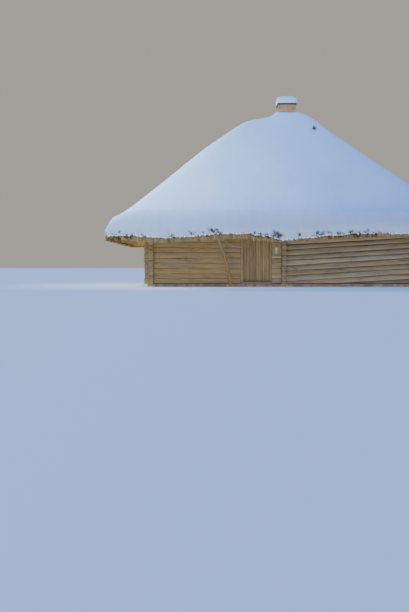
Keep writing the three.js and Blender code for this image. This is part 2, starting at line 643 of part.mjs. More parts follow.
// A leaning, slightly bowed pole holds up the sagging eave beside the door
const POLE_RADIUS = 62;
const POLE_PATH = [
  [-2060, -WALL_Y - 245, -120],
  [-2165, -WALL_Y - 480, 470],
  [-2375, -WALL_Y - 900, 1290],
  [-2720, -EAVE_Y + 150, 2120],
];
{
  const path = new THREE.CatmullRomCurve3(POLE_PATH.map((place) => new THREE.Vector3(...place)));
  const corners = 10;
  const round = new THREE.Shape();
  for (let k = 0; k < corners; k++) {
    const turn = (2 * Math.PI * k) / corners;
    const place = [POLE_RADIUS * Math.cos(turn), POLE_RADIUS * Math.sin(turn)];
    if (k) round.lineTo(...place);
    else round.moveTo(...place);
  }
  const pole = solid(new THREE.ExtrudeGeometry(round, { steps: 9, extrudePath: path, bevelEnabled: false }));
  const seat = union([
    thatch.front.translate([0, 0, -2 * GAP]),
    frames.front,
    frames.front.translate([0, -GAP, -2 * GAP]),
    frames.front.translate([GAP, GAP, 0]),
  ]);
  const cut = pole.intersect(block(-FAR, FAR, -FAR, FAR, 0, FAR)).subtract(seat);
  piece("eave_strut", cut, "boards", entrance);
}

export default house;
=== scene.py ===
import math
import random

import bmesh
import bpy
import numpy as np
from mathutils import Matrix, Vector, noise


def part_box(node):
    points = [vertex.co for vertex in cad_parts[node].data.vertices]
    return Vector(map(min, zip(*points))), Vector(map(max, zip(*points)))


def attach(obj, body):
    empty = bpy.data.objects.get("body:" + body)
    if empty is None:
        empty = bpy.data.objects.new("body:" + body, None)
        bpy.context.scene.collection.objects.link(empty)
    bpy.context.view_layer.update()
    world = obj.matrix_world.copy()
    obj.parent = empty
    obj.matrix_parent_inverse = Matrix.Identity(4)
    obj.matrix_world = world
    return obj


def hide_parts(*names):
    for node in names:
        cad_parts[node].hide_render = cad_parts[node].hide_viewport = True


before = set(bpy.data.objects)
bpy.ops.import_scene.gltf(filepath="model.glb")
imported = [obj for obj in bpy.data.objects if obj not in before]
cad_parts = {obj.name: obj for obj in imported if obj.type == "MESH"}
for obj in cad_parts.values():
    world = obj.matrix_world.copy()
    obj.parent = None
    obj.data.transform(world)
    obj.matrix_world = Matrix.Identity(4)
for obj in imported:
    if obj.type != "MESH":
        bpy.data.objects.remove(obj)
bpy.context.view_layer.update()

# The view: a camera low over the ground, far in front of the house and tipped down a little, a plain pale
# floor, and soft studio light. The sky is cool, a low light behind on the left is warm, a fill from the
# front is weak, and a warm bounce comes up from below.
TIPPED_DOWN = 3.1  # degrees


def put_in(name, data):
    made = bpy.data.objects.new(name, data)
    bpy.context.scene.collection.objects.link(made)
    return made


camera_data = bpy.data.cameras.new("camera")
camera_data.lens = 44.1
camera_data.clip_end = 500
camera = put_in("camera", camera_data)
camera.location = (-3.13, -34.02, 0.85)
camera.rotation_euler = (math.radians(90 - TIPPED_DOWN), 0, 0)
bpy.context.scene.camera = camera

SKY_LIGHT = (0.225, 0.455, 1.2, 1)
BACKDROP = (0.43, 0.4, 0.36, 1)


def add_node(tree, kind, inputs=None, **settings):
    made = tree.nodes.new("ShaderNode" + kind)
    for key, value in settings.items():
        setattr(made, key, value)
    for key, value in (inputs or {}).items():
        if isinstance(value, bpy.types.NodeSocket):
            tree.links.new(value, made.inputs[key])
        else:
            made.inputs[key].default_value = value
    return made


world = bpy.data.worlds.new("studio")
world.use_nodes = True
bpy.context.scene.world = world
sky = world.node_tree
sky.nodes.clear()
seen = add_node(sky, "Background", {"Color": BACKDROP, "Strength": 1.0})
shed = add_node(sky, "Background", {"Color": SKY_LIGHT, "Strength": 1.0})
direct = add_node(sky, "LightPath").outputs["Is Camera Ray"]
choice = add_node(sky, "MixShader", {0: direct, 1: shed.outputs[0], 2: seen.outputs[0]})
add_node(sky, "OutputWorld", {"Surface": choice.outputs[0]})

NARROW, WIDE, CONE = math.radians(12), math.radians(50), math.radians(56)
# The softbox is a wide soft spot, high on the left, that brightens that end of the roof
LIGHTS = {
    "rim_light": ("SUN", (0.75, -0.62, -0.42), {
        "energy": 1.6, "angle": NARROW, "color": (1.0, 0.86, 0.68),
    }),
    "front_fill": ("SUN", (0.12, 0.9, -0.14), {"energy": 0.3, "angle": WIDE, "color": (0.93, 0.97, 1.0)}),
    "bounce": ("SUN", (0.08, 0.68, 0.85), {"energy": 2.0, "angle": WIDE, "color": (0.98, 0.79, 0.37)}),
    "softbox": ("SPOT", (8.1, 6, -7.5), {
        "energy": 12500, "color": (0.72, 0.97, 1.04), "spot_size": CONE, "spot_blend": 1,
        "shadow_soft_size": 3,
    }),
}
SOFTBOX_PLACE = (-14, -9, 12)
for name, (kind, shines, settings) in LIGHTS.items():
    light_data = bpy.data.lights.new(name, kind)
    for key, value in settings.items():
        setattr(light_data, key, value)
    light = put_in(name, light_data)
    light.rotation_euler = Vector(shines).to_track_quat("-Z", "Y").to_euler()
    if kind == "SPOT":
        light.location = SOFTBOX_PLACE
        light.visible_camera = False

FLOOR_REACH = 200


def as_mesh(name, shape):
    mesh = bpy.data.meshes.new(name)
    shape.to_mesh(mesh)
    shape.free()
    return mesh


floor_shape = bmesh.new()
bmesh.ops.create_grid(floor_shape, x_segments=1, y_segments=1, size=FLOOR_REACH)
floor_mesh = as_mesh("floor", floor_shape)
floor = put_in("floor", floor_mesh)
floor_finish = bpy.data.materials.new("floor")
floor_finish.use_nodes = True
floor_look = floor_finish.node_tree.nodes["Principled BSDF"].inputs
floor_look["Base Color"].default_value = (0.94, 0.96, 0.92, 1)
floor_look["Roughness"].default_value = 0.95
floor_mesh.materials.append(floor_finish)
# The bounce light stands for light off the ground, so the floor doesn't stop it
floor.visible_shadow = False


# The footing is one low course of field stones laid dry under each wall, a little wider than the logs.
# Each stone is a lump with worn edges, flat where it meets the ground and the first log.
WALL_X, WALL_Y, WALL_THICK = 5.38, 3.93, 0.2  # the walls' outer faces
FOOTING_WIDTH, FOOTING_TOP = 0.3, 0.11
STONE_LENGTHS = (0.24, 0.5)
CORE_INSET, CORE_TONE = 0.03, 0.15


def set_piece(name, shape, finish, stands_for=(), body="house", crease=40):
    """A finished shape becomes a piece of its body, in place of the nodes that it stands for."""
    mesh = as_mesh(name, shape)
    mesh.shade_smooth()
    mesh.set_sharp_from_angle(angle=math.radians(crease))
    mesh.materials.append(finish)
    piece = put_in(name, mesh)
    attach(piece, body)
    if stands_for:
        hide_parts(*stands_for)


def new_finish(name, roughness):
    finish = bpy.data.materials.new(name)
    finish.use_nodes = True
    shader = finish.node_tree.nodes["Principled BSDF"]
    shader.inputs["Roughness"].default_value = roughness
    shader.inputs["Specular IOR Level"].default_value = 0.3
    return finish, finish.node_tree, shader


def ramp(tree, amount, *stops):
    """A run of colours. Each stop is a place with a colour, or with one number for a grey."""
    made = add_node(tree, "ValToRGB", {"Fac": amount})
    band = made.color_ramp
    while len(band.elements) < len(stops):
        band.elements.new(0.5)
    for element, (place, colour) in zip(band.elements, stops):
        element.position = place
        element.color = (*colour, 1) if isinstance(colour, tuple) else (colour, colour, colour, 1)
    return made.outputs["Color"]


def mixed(tree, amount, first, second, way="MIX"):
    made = add_node(tree, "Mix", data_type="RGBA", blend_type=way)
    for key, value in ((0, amount), (6, first), (7, second)):
        if isinstance(value, bpy.types.NodeSocket):
            tree.links.new(value, made.inputs[key])
        elif key:
            made.inputs[key].default_value = (*value, 1)
        else:
            made.inputs[key].default_value = value
    return made.outputs[2]


def stretched(tree, vector, scale):
    return add_node(tree, "Mapping", {"Vector": vector, "Scale": scale}).outputs["Vector"]


def speckle(tree, vector, scale, detail=5.0, roughness=0.55):
    """Fine noise. A scale of three values draws it out along an axis."""
    if isinstance(scale, tuple):
        vector, scale = stretched(tree, vector, scale), 1.0
    inputs = {"Vector": vector, "Scale": scale, "Detail": detail, "Roughness": roughness}
    return add_node(tree, "TexNoise", inputs).outputs["Fac"]


def cover(tree, shader, colour, height, distance, strength=1.0):
    """Gives a material its colour and the fine relief of its surface."""
    tree.links.new(colour, shader.inputs["Base Color"])
    inputs = {"Height": height, "Distance": distance, "Strength": strength}
    tree.links.new(add_node(tree, "Bump", inputs).outputs["Normal"], shader.inputs["Normal"])


def object_place(tree):
    return add_node(tree, "TexCoord").outputs["Object"]


def carried(tree, name, kind="Fac"):
    """A value that the mesh carries at each of its points"""
    return add_node(tree, "Attribute", attribute_name=name).outputs[kind]


stone_finish, tree, shader = new_finish("field_stone", 0.9)
place = object_place(tree)
browns = ((0.0, (0.27, 0.2, 0.13)), (0.5, (0.42, 0.31, 0.19)), (1.0, (0.5, 0.38, 0.24)))
stone_colour = ramp(tree, carried(tree, "tone"), *browns)
grit = speckle(tree, place, 60.0, 6.0)
lichen = ramp(tree, speckle(tree, place, 5.0), (0.55, 0), (0.7, 1))
stone_colour = mixed(tree, 0.5, stone_colour, ramp(tree, grit, (0.3, 0.3), (0.75, 1)), "MULTIPLY")
stone_colour = mixed(tree, lichen, stone_colour, (0.4, 0.36, 0.26))
cover(tree, shader, stone_colour, grit, 0.006)


def block(cuts):
    """A cube from -1 to 1 with its faces cut into a grid"""
    shape = bmesh.new()
    bmesh.ops.create_cube(shape, size=2)
    bmesh.ops.subdivide_edges(shape, edges=shape.edges[:], cuts=cuts, use_grid_fill=True)
    return shape


def pull_in(unit, power):
    """How far a point of a block goes towards its axis for a section with rounded corners"""
    reach = (abs(unit.x) ** power + abs(unit.y) ** power) ** (1 / power)
    return max(abs(unit.x), abs(unit.y)) / max(reach, 1e-6)


def lay_stones(low, high, seed):
    """A row of stones that fills a long box"""
    pick = random.Random(seed)
    course = bmesh.new()
    tones = course.verts.layers.float.new("tone")
    axis = 0 if high.x - low.x > high.y - low.y else 1
    at = low[axis]
    while high[axis] - at > 0.02:
        length = pick.uniform(*STONE_LENGTHS)
        if high[axis] - at - length < STONE_LENGTHS[0]:
            length = high[axis] - at
        stone = block(cuts=3)
        shift = Vector((pick.uniform(0, 50), pick.uniform(0, 50), 0))
        shade = pick.random()
        size = Vector((FOOTING_WIDTH, FOOTING_WIDTH, FOOTING_TOP))
        size[axis] = length
        middle = (low + high) / 2
        middle[axis] = at + length / 2
        stone_tone = stone.verts.layers.float.new("tone")
        for spot in stone.verts:
            unit = spot.co
            worn = 1 - 0.07 * abs(unit.z) ** 4 - 0.05 * (0.5 + 0.5 * noise.noise(unit * 1.5 + shift))
            worn *= pull_in(unit, 5)
            spot.co = middle + Vector((unit.x * worn, unit.y * worn, unit.z)) * size / 2
            spot[stone_tone] = shade
        lump = as_mesh("lump", stone)
        course.from_mesh(lump)
        bpy.data.meshes.remove(lump)
        at += length
    # A rubble core behind the faces closes the gaps between them
    core = bmesh.ops.create_cube(course, size=1)["verts"]
    size = high - low - Vector((CORE_INSET, CORE_INSET, 0.004))
    bmesh.ops.scale(course, vec=size, verts=core)
    bmesh.ops.translate(course, vec=(low + high) / 2, verts=core)
    for spot in core:
        spot[tones] = CORE_TONE
    return course


for side in ("front", "back", "left", "right"):
    node = "footing_" + side
    low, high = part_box(node)
    stones = lay_stones(low, high, len(side) * 7)
    set_piece("stones_" + side, stones, stone_finish, [node], crease=50)


# The walls are notched logs, rounded outside and hewn flat inside, with drying cracks and grey weathering.
# They cross at the corners, half a log apart in height. Each one bends and tapers a little.
COURSE, COURSES = 0.208, 13
WALL_BASE = 0.1103
WALL_TOP = WALL_BASE + COURSES * COURSE
LOG_END = 0.18
END_SPREAD = 0.03  # how far the logs' ends differ
PARED = 0.06  # taken off the ends of the top log, under the rafters
THINNEST_LOG, CHAMFER = 0.012, 0.008
SEAM_TAPER, SEAM_WANDER = 0.012, 0.007
# How square a timber is outside and inside, from a round pin to a board
ROUND_PIN, SOFT_EDGED, ROUGH_BEAM, BOARD = (2, 2), (4, 4), (7, 7), (12, 12)
ROUND_LOG, HEWN_LOG = (4, 9), (11, 9)
ALONG_X, ALONG_Y = Vector((1, 0, 0)), Vector((0, 1, 0))
UPRIGHT, FORWARD = Vector((0, 0, 1)), Vector((0, -1, 0))


def timber(
    start, stop, out, up, half_out, half_up, seed, square, tone, weather,
    edges=None, path=None, pace=0.3, wander=0.004,
):
    """One timber between two points. Its section is a rounded rectangle about the line between them.
    Edges give the lower and upper face over the length, and a path is the middle line of a bowed timber.
    Pace is the way between two rings of points, and wander is how far the faces are from true."""
    start, stop = Vector(start), Vector(stop)
    out, up = Vector(out), Vector(up)
    length = (stop - start).length
    shape = bmesh.new()
    bmesh.ops.create_cone(shape, cap_ends=True, segments=16, radius1=1, radius2=1, depth=1)
    long_edges = [e for e in shape.edges if abs(e.verts[0].co.z - e.verts[1].co.z) > 0.5]
    cuts = int(length / pace)
    if cuts:
        bmesh.ops.subdivide_edges(shape, edges=long_edges, cuts=cuts)
    caps = [f for f in shape.faces if len(f.verts) > 4]
    bmesh.ops.inset_individual(shape, faces=caps, thickness=0.22, use_even_offset=True)
    grain = shape.verts.layers.float_vector.new("grain")
    tones = shape.verts.layers.float.new("tone")
    greys = shape.verts.layers.float.new("weather")
    pick = random.Random(seed)
    shift = Vector((pick.uniform(0, 90), pick.uniform(0, 90), pick.uniform(0, 90)))
    is_log = square in (ROUND_LOG, HEWN_LOG)
    pith = Vector((0, 0)) if is_log else Vector((pick.uniform(0.05, 0.12), pick.uniform(-0.1, 0.1)))
    chamfer = min(CHAMFER, 0.2 * half_out)
    for spot in shape.verts:
        x, y, along = spot.co.x, spot.co.y, spot.co.z + 0.5
        radius = math.hypot(x, y)
        cosine, sine = x / radius, y / radius
        power = square[0] if cosine > 0 else square[1]
        reach = radius / (abs(cosine) ** power + abs(sine) ** power) ** (1 / power)
        if radius > 0.99 and (along < 1e-4 or along > 1 - 1e-4):
            along += (chamfer if along < 0.5 else -chamfer) / length
        low, high = edges(along) if edges else (-half_up, half_up)
        uneven = noise.noise(Vector((along * length * 1.4, 1.5 * math.atan2(sine, cosine), 0)) + shift)
        sideways = half_out * reach * cosine + wander * uneven * (1 + cosine)
        height = (low + high) / 2 + (high - low) / 2 * reach * sine
        middle = path(along) if path else start.lerp(stop, along)
        spot.co = middle + out * sideways + up * height
        spot[grain] = Vector((along * length + shift.x, sideways + pith.x, height + pith.y))
        spot[tones] = tone(along) if callable(tone) else tone
        spot[greys] = weather(along) if callable(weather) else weather
    bmesh.ops.recalc_face_normals(shape, faces=shape.faces[:])
    return as_mesh("timber", shape)


def gather(parts):
    whole = bmesh.new()
    for mesh in parts:
        whole.from_mesh(mesh)
        bpy.data.meshes.remove(mesh)
    return whole


def reckoned(tree, operation, first, second):
    return add_node(tree, "Math", {0: first, 1: second}, operation=operation).outputs[0]


wood = bpy.data.node_groups.new("timber_grain", "ShaderNodeTree")
for name, kind in (("Light", "Color"), ("Dark", "Color"), ("Grey", "Color"), ("Cracks", "Float")):
    wood.interface.new_socket(name, in_out="INPUT", socket_type="NodeSocket" + kind)
for name, kind in (("Color", "Color"), ("Roughness", "Float"), ("Height", "Float")):
    wood.interface.new_socket(name, in_out="OUTPUT", socket_type="NodeSocket" + kind)
given = wood.nodes.new("NodeGroupInput")
place = carried(wood, "grain", "Vector")
fibres = speckle(wood, place, (2.0, 60.0, 60.0), 7.0, 0.62)
broad = speckle(wood, place, (0.9, 9.0, 9.0), 3.0)
rings = add_node(wood, "TexWave", {
    "Vector": stretched(wood, place, (0.12, 1.0, 1.0)), "Scale": 22.0, "Distortion": 3.5, "Detail": 3.0,
    "Detail Scale": 1.4,
}, wave_type="RINGS", rings_direction="X").outputs["Fac"]
splits = add_node(wood, "TexVoronoi", {
    "Vector": stretched(wood, place, (0.9, 26.0, 26.0)), "Scale": 1.0, "Randomness": 1.0,
}, feature="DISTANCE_TO_EDGE").outputs["Distance"]
where = ramp(wood, speckle(wood, place, (1.2, 7.0, 7.0), 2.0), (0.46, 0), (0.6, 1))
crack = reckoned(wood, "MULTIPLY", ramp(wood, splits, (0.0, 1), (0.07, 0)), where)
crack = reckoned(wood, "MULTIPLY", crack, given.outputs["Cracks"])
bands = ramp(wood, fibres, (0.3, 0), (0.72, 1))
colour = mixed(wood, bands, given.outputs["Dark"], given.outputs["Light"])
colour = mixed(wood, 0.35, colour, ramp(wood, rings, (0.1, 0.45), (0.8, 1)), "MULTIPLY")
patches = reckoned(wood, "ADD", broad, carried(wood, "weather"))
grey_share = add_node(wood, "MapRange", {"Value": patches, "From Min": 0.45, "From Max": 1.35})
colour = mixed(wood, grey_share.outputs["Result"], colour, given.outputs["Grey"])
tones = ramp(wood, carried(wood, "tone"), (0.0, 0.6), (0.5, 0.95), (1.0, 1.3))
colour = mixed(wood, 1.0, colour, tones, "MULTIPLY")
colour = mixed(wood, 0.4, colour, ramp(wood, fibres, (0.3, 0.35), (0.5, 1)), "MULTIPLY")
colour = mixed(wood, crack, colour, (0.012, 0.01, 0.008))
rough = add_node(wood, "MapRange", {"Value": fibres, "To Min": 0.98, "To Max": 0.78}).outputs["Result"]
relief = reckoned(wood, "SUBTRACT", fibres, crack)
taken = wood.nodes.new("NodeGroupOutput")
for name, value in (("Color", colour), ("Roughness", rough), ("Height", relief)):
    wood.links.new(value, taken.inputs[name])


def timber_finish(name, light, dark, grey, cracks=1.0, relief=0.005):
    finish, tree, shader = new_finish(name, 0.9)
    grain = tree.nodes.new("ShaderNodeGroup")
    grain.node_tree = wood
    for key, value in (("Light", light), ("Dark", dark), ("Grey", grey)):
        grain.inputs[key].default_value = (*value, 1)
    grain.inputs["Cracks"].default_value = cracks
    tree.links.new(grain.outputs["Roughness"], shader.inputs["Roughness"])
    cover(tree, shader, grain.outputs["Color"], grain.outputs["Height"], relief)
    return finish


log_finish = timber_finish("log_wood", (0.64, 0.42, 0.16), (0.4, 0.26, 0.09), (0.4, 0.325, 0.205), 0.6)


def seam_height(number, x, seed):
    """How far a seam between two logs wanders at a place. The foot and the top of the wall are level."""
    if number <= 0 or number >= COURSES:
        return 0.0
    taper = SEAM_TAPER * math.sin(2.1 * x / 5 + 2.4 * number + seed)
    return taper + SEAM_WANDER * noise.noise(Vector((0.8 * x, 3.7 * number, seed)))


def log_wall(
    axis, middle, from_end, to_end, half, seed, weather,
    rise=None, gap=None, square=ROUND_LOG, tone=0.5, uneven=1, pace=0.3,
):
    """A stack of logs along X or Y. A rise gives two places along the wall and the share of a course that
    the seams are shifted at the first. From there they climb to one course up at the second. A gap gives
    the sill and head that the logs lie between, and uneven says how much the logs differ in tone."""
    pick = random.Random(seed)
    direction, across = (ALONG_X, ALONG_Y) if axis == "x" else (ALONG_Y, ALONG_X)
    outward, centre = across * math.copysign(1, middle), across * middle
    core = (WALL_X if axis == "x" else WALL_Y) + 0.02
    lowest, highest = (-1, COURSES + 1) if rise else (0, COURSES)
    numbers = [n - 0.5 for n in range(COURSES + 1)] if half else list(range(lowest, highest))
    parts = []
    for number in numbers:
        bounds = [from_end, to_end]
        for k, protrudes in enumerate((from_end < -core, to_end > core)):
            if protrudes:
                bounds[k] += (1 if k == 0 else -1) * pick.uniform(0, END_SPREAD)
        length = bounds[1] - bounds[0]

        def level(which, share):
            x = bounds[0] + share * length
            climb = 0.0
            if rise:
                rise_from, rise_to, first = rise
                climb = first + (1 - first) * min(max((x - rise_from) / (rise_to - rise_from), 0), 1)
            height = WALL_BASE + (which + climb) * COURSE + seam_height(which, x, seed)
            top = WALL_TOP - (PARED if abs(x) > core else 0)
            lower, upper = gap or (WALL_BASE, top)
            return min(max(height, lower), upper)

        def faces(share):
            low = level(number, share)
            return low, max(level(number + 1, share), low + 0.002)

        along_log = [faces(k / 8) for k in range(9)]
        if max(high - low for low, high in along_log) < THINNEST_LOG:
            continue
        ends = (centre + direction * bounds[0], centre + direction * bounds[1])
        shade = tone + uneven * pick.uniform(-0.24, 0.2)
        grey = weather + pick.uniform(-0.16, 0.16)
        look = (seed * 40 + int(number * 2), square, shade, grey, faces)
        parts.append(timber(*ends, outward, UPRIGHT, WALL_THICK / 2, 0, *look, pace=pace, wander=0.008))
    return parts


reach_x, reach_y = WALL_X + LOG_END, WALL_Y + LOG_END
line_x, line_y = WALL_X - WALL_THICK / 2, WALL_Y - WALL_THICK / 2
DOOR_LEFT, DOOR_RIGHT, DOOR_HEAD = -1.68, -0.44, 1.9823
COLUMN_X, COLUMN_SIDE = 0.05, 0.085
for node, parts in {
    "back_wall": log_wall("x", line_y, -reach_x, reach_x, False, 11, 0.35),
    "left_wall": log_wall("y", -line_x, -reach_y, reach_y, True, 12, 0.3, square=HEWN_LOG, tone=0.3),
    "right_wall": log_wall("y", line_x, -reach_y, reach_y, True, 13, 0.5),
    "front_wall_left": log_wall(
        "x", -line_y, -reach_x, DOOR_LEFT - 0.001, False, 14, 0.12, square=HEWN_LOG, uneven=0.4, tone=0.34
    ),
    "front_wall_right": log_wall(
        "x", -line_y, COLUMN_X + COLUMN_SIDE, reach_x, False, 15, 0.7, rise=(0.15, WALL_X, -0.5), tone=0.36
    ),
    "front_wall_over_door": log_wall(
        "x", -line_y, DOOR_LEFT + 0.001, DOOR_RIGHT - 0.001, False, 16, 0.12, gap=(DOOR_HEAD, WALL_TOP),
        square=HEWN_LOG,
    ),
}.items():
    name = node.replace("_wall", "_logs")
    set_piece(name, gather(parts), log_finish, [node], crease=50)


# Short hewn logs close the wall round the small window. Beside them the logs of a cross wall are notched
# through the front, and their ends stand out in a column.
WINDOW = {"left": -0.4, "right": -0.11, "sill": 1.25, "head": 1.6}
BUTT_HALF_WIDTH = 0.094
short = []
for from_x, to_x, gap in (
    (DOOR_RIGHT, COLUMN_X - COLUMN_SIDE, (WALL_BASE, WINDOW["sill"])),
    (DOOR_RIGHT, WINDOW["left"], (WINDOW["sill"], WINDOW["head"])),
    (WINDOW["right"], COLUMN_X - COLUMN_SIDE, (WINDOW["sill"], WINDOW["head"])),
    (DOOR_RIGHT, COLUMN_X - COLUMN_SIDE, (WINDOW["head"], WALL_TOP)),
):
    look = {"pace": 0.15, "tone": 0.42, "square": HEWN_LOG}
    short += log_wall("x", -line_y, from_x, to_x, False, 17, 0.5, gap=gap, **look)
stands_for = ["front_wall_with_window"]
set_piece("front_logs_with_window", gather(short), log_finish, stands_for, crease=50)

pick = random.Random(18)
ends = []
for number in range(COURSES + 1):
    low = max(WALL_BASE, WALL_BASE + (number - 0.5) * COURSE)
    high = min(WALL_TOP - PARED, WALL_BASE + (number + 0.5) * COURSE)
    start = (COLUMN_X + pick.uniform(-0.012, 0.012), -reach_y + pick.uniform(0, 0.05), (low + high) / 2)
    stop = (COLUMN_X, -WALL_Y + WALL_THICK, (low + high) / 2)
    tone = 0.15 + pick.uniform(-0.12, 0.2)
    shape = (BUTT_HALF_WIDTH, (high - low) / 2, 700 + number, SOFT_EDGED, tone, 0.45)
    ends.append(timber(start, stop, ALONG_X, UPRIGHT, *shape, pace=0.12, wander=0.006))
set_piece("cross_log_ends", gather(ends), log_finish, ["cross_wall_ends"], crease=50)


# Squared plates of hewn timber lie on the top logs of the four walls. The rafters stand on them, and they
# spread the roof's weight along the walls.


def beam(low, high, along, out, up, *look, **more):
    """A timber that fills a box, with its length along one axis and its faces towards two others"""
    middle, half = (low + high) / 2, (high - low) / 2
    run = along * half.dot(along)
    sizes = (abs(half.dot(out)), abs(half.dot(up)))
    return timber(middle - run, middle + run, out, up, *sizes, *look, **more)


for side in ("front", "back", "left", "right"):
    node = "wall_plate_" + side
    low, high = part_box(node)
    axes = (ALONG_X, ALONG_Y) if side in ("front", "back") else (ALONG_Y, ALONG_X)
    plate = beam(low, high, *axes, UPRIGHT, 60 + len(side), ROUGH_BEAM, 0.4, 0.2, wander=0.003)
    set_piece("plate_" + side, gather([plate]), log_finish, [node], crease=50)


# The door is two leaves of four and six upright planks on two ledges each, in a frame of a sill log and
# two posts. Each leaf turns on wooden pins, and the right one, which opens first, has a wooden pull.
LEAF_Y, LEAF_THICK, LEAF_GAP = -3.86, 0.045, 0.012
LEAF_BOTTOM, LEAF_TOP = 0.198, 1.9743
PIVOT_FROM_EDGE, PLANK_SEAM = 0.03, 0.001
LEDGE = {
    "half": (0.0125, 0.055), "behind": 0.034, "from_end": 0.255, "from_pivot": 0.15, "from_edge": 0.03,
}
PIN = {"half": (0.018, 0.018), "foot": 0.1453, "head": 2.0267, "in_leaf": 0.05}
PULL = {"half": (0.016, 0.016), "from_edge": 0.061, "in_front": 0.019, "foot": 0.98, "head": 1.18}
board_finish = timber_finish(
    "board_wood", (0.52, 0.34, 0.125), (0.3, 0.19, 0.062), (0.4, 0.305, 0.175), 0.5, 0.003
)
low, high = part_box("door_sill")
sill = beam(low, high, ALONG_X, FORWARD, UPRIGHT, 70, ROUGH_BEAM, 0.45, 0.4, wander=0.002)
set_piece("sill_log", gather([sill]), board_finish, ["door_sill"])
for side, tone in (("left", lambda share: 0.95 - 0.55 * share), ("right", 0.35)):
    low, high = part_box("door_jamb_" + side)
    look = (71 + len(side), ROUGH_BEAM, tone, 0.4)
    post = beam(low, high, UPRIGHT, FORWARD, ALONG_X, *look, wander=0.002)
    set_piece("door_post_" + side, gather([post]), board_finish, ["door_jamb_" + side])

LEAVES = {
    "left": {"pivot": -1.545, "turn": 1, "tones": (0.28, 0.36, 0.26, 0.22)},
    "right": {"pivot": -0.575, "turn": -1, "tones": (0.55, 0.4, 0.52, 0.26, 0.5, 0.6)},
}
for side, leaf in LEAVES.items():
    pivot, turn = leaf["pivot"], leaf["turn"]
    hinge_edge = pivot - turn * PIVOT_FROM_EDGE
    free_edge = (DOOR_LEFT + DOOR_RIGHT) / 2 - turn * LEAF_GAP / 2
    width = (free_edge - hinge_edge) / len(leaf["tones"])
    parts = []
    for k, tone in enumerate(leaf["tones"]):
        x = hinge_edge + (k + 0.5) * width
        shape = (LEAF_THICK / 2, abs(width) / 2 - PLANK_SEAM, 80 + 10 * turn + k, BOARD, tone, 0.3)
        ends = ((x, LEAF_Y, LEAF_BOTTOM), (x, LEAF_Y, LEAF_TOP))
        parts.append(timber(*ends, FORWARD, ALONG_X, *shape, wander=0.002, pace=0.25))
    y = LEAF_Y + LEDGE["behind"]
    for z in (LEAF_BOTTOM + LEDGE["from_end"], LEAF_TOP - LEDGE["from_end"]):
        ends = ((pivot + turn * LEDGE["from_pivot"], y, z), (free_edge - turn * LEDGE["from_edge"], y, z))
        shape = (*LEDGE["half"], 95 + int(z * 10), BOARD, 0.4, 0.2)
        parts.append(timber(*ends, ALONG_Y, UPRIGHT, *shape, wander=0.001))
    pins = ((PIN["foot"], LEAF_BOTTOM + PIN["in_leaf"]), (LEAF_TOP - PIN["in_leaf"], PIN["head"]))
    for from_z, to_z in pins:
        ends = ((pivot, LEAF_Y, from_z), (pivot, LEAF_Y, to_z))
        parts.append(timber(*ends, ALONG_X, ALONG_Y, *PIN["half"], 97, ROUND_PIN, 0.3, 0.2, wander=0))
    if side == "right":
        x, y = free_edge + PULL["from_edge"], LEAF_Y - LEAF_THICK / 2 - PULL["in_front"]
        ends = ((x, y, PULL["foot"]), (x, y, PULL["head"]))
        parts.append(timber(*ends, FORWARD, ALONG_X, *PULL["half"], 99, SOFT_EDGED, 0.7, 0.2, wander=0))
    name, stands_for = "door_" + side + "_planks", ["door_leaf_" + side]
    set_piece(name, gather(parts), board_finish, stands_for, "door_" + side)


# The small fixed window is four wooden bars round one old pane, green and made pale by painted reflection
# of the sky. The pane sits in a rebate behind the bars, and the frame is set between the short logs.
PANE_REBATE = 0.011
low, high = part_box("window_frame")
pane_low, pane_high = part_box("window_pane")
uprights = ((low.x, pane_low.x + PANE_REBATE), (pane_high.x - PANE_REBATE, high.x))
rails = ((low.z, pane_low.z + PANE_REBATE), (pane_high.z - PANE_REBATE, high.z))
bars = []
for k, (x0, x1) in enumerate(uprights):
    corners = (Vector((x0, low.y, low.z)), Vector((x1, high.y, high.z)))
    bars.append(beam(*corners, UPRIGHT, FORWARD, ALONG_X, 110 + k, BOARD, 0.55, 0.5, wander=0.001))
for k, (z0, z1) in enumerate(rails):
    corners = (Vector((pane_low.x, low.y, z0)), Vector((pane_high.x, high.y, z1)))
    bars.append(beam(*corners, ALONG_X, FORWARD, UPRIGHT, 114 + k, BOARD, 0.6, 0.5, wander=0.001))
set_piece("window_bars", gather(bars), board_finish, ["window_frame"])

pane_finish, tree, shader = new_finish("window_glass", 0.12)
frost = speckle(tree, object_place(tree), 18.0, 6.0)
shader.inputs["Transmission Weight"].default_value = 0.15
shader.inputs["IOR"].default_value = 1.5
# The glass's own green, made pale as painted reflection of the sky and clouded by frost
green_with_painted_reflection = ramp(tree, frost, (0.3, (0.5, 0.62, 0.33)), (0.7, (0.78, 0.87, 0.55)))
clouded = add_node(tree, "MapRange", {"Value": frost, "To Min": 0.08, "To Max": 0.4}).outputs["Result"]
tree.links.new(clouded, shader.inputs["Roughness"])
cover(tree, shader, green_with_painted_reflection, frost, 0.001)
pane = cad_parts["window_pane"]
pane.data.materials.clear()
pane.data.materials.append(pane_finish)


# A peeled pole, bowed and knotty, leans out from the ground to the sagging eave beside the door and props
# it up. It is brown at its foot and weathered grey towards its top.
POLE = np.array([
    (-2.06, -4.175, -0.12), (-2.165, -4.41, 0.47), (-2.375, -4.83, 1.29), (-2.72, -5.29, 2.12),
])
POLE_TOP, POLE_RADIUS = 2.03, 0.058
pole_finish = timber_finish(
    "peeled_pole", (0.5, 0.3, 0.09), (0.3, 0.165, 0.045), (0.33, 0.25, 0.14), 0.8, 0.003
)
bow_x = np.polyfit(POLE[:, 2], POLE[:, 0], 3)
bow_y = np.polyfit(POLE[:, 2], POLE[:, 1], 3)


def pole_line(share):
    z = POLE_TOP * share
    return Vector((np.polyval(bow_x, z), np.polyval(bow_y, z), z))


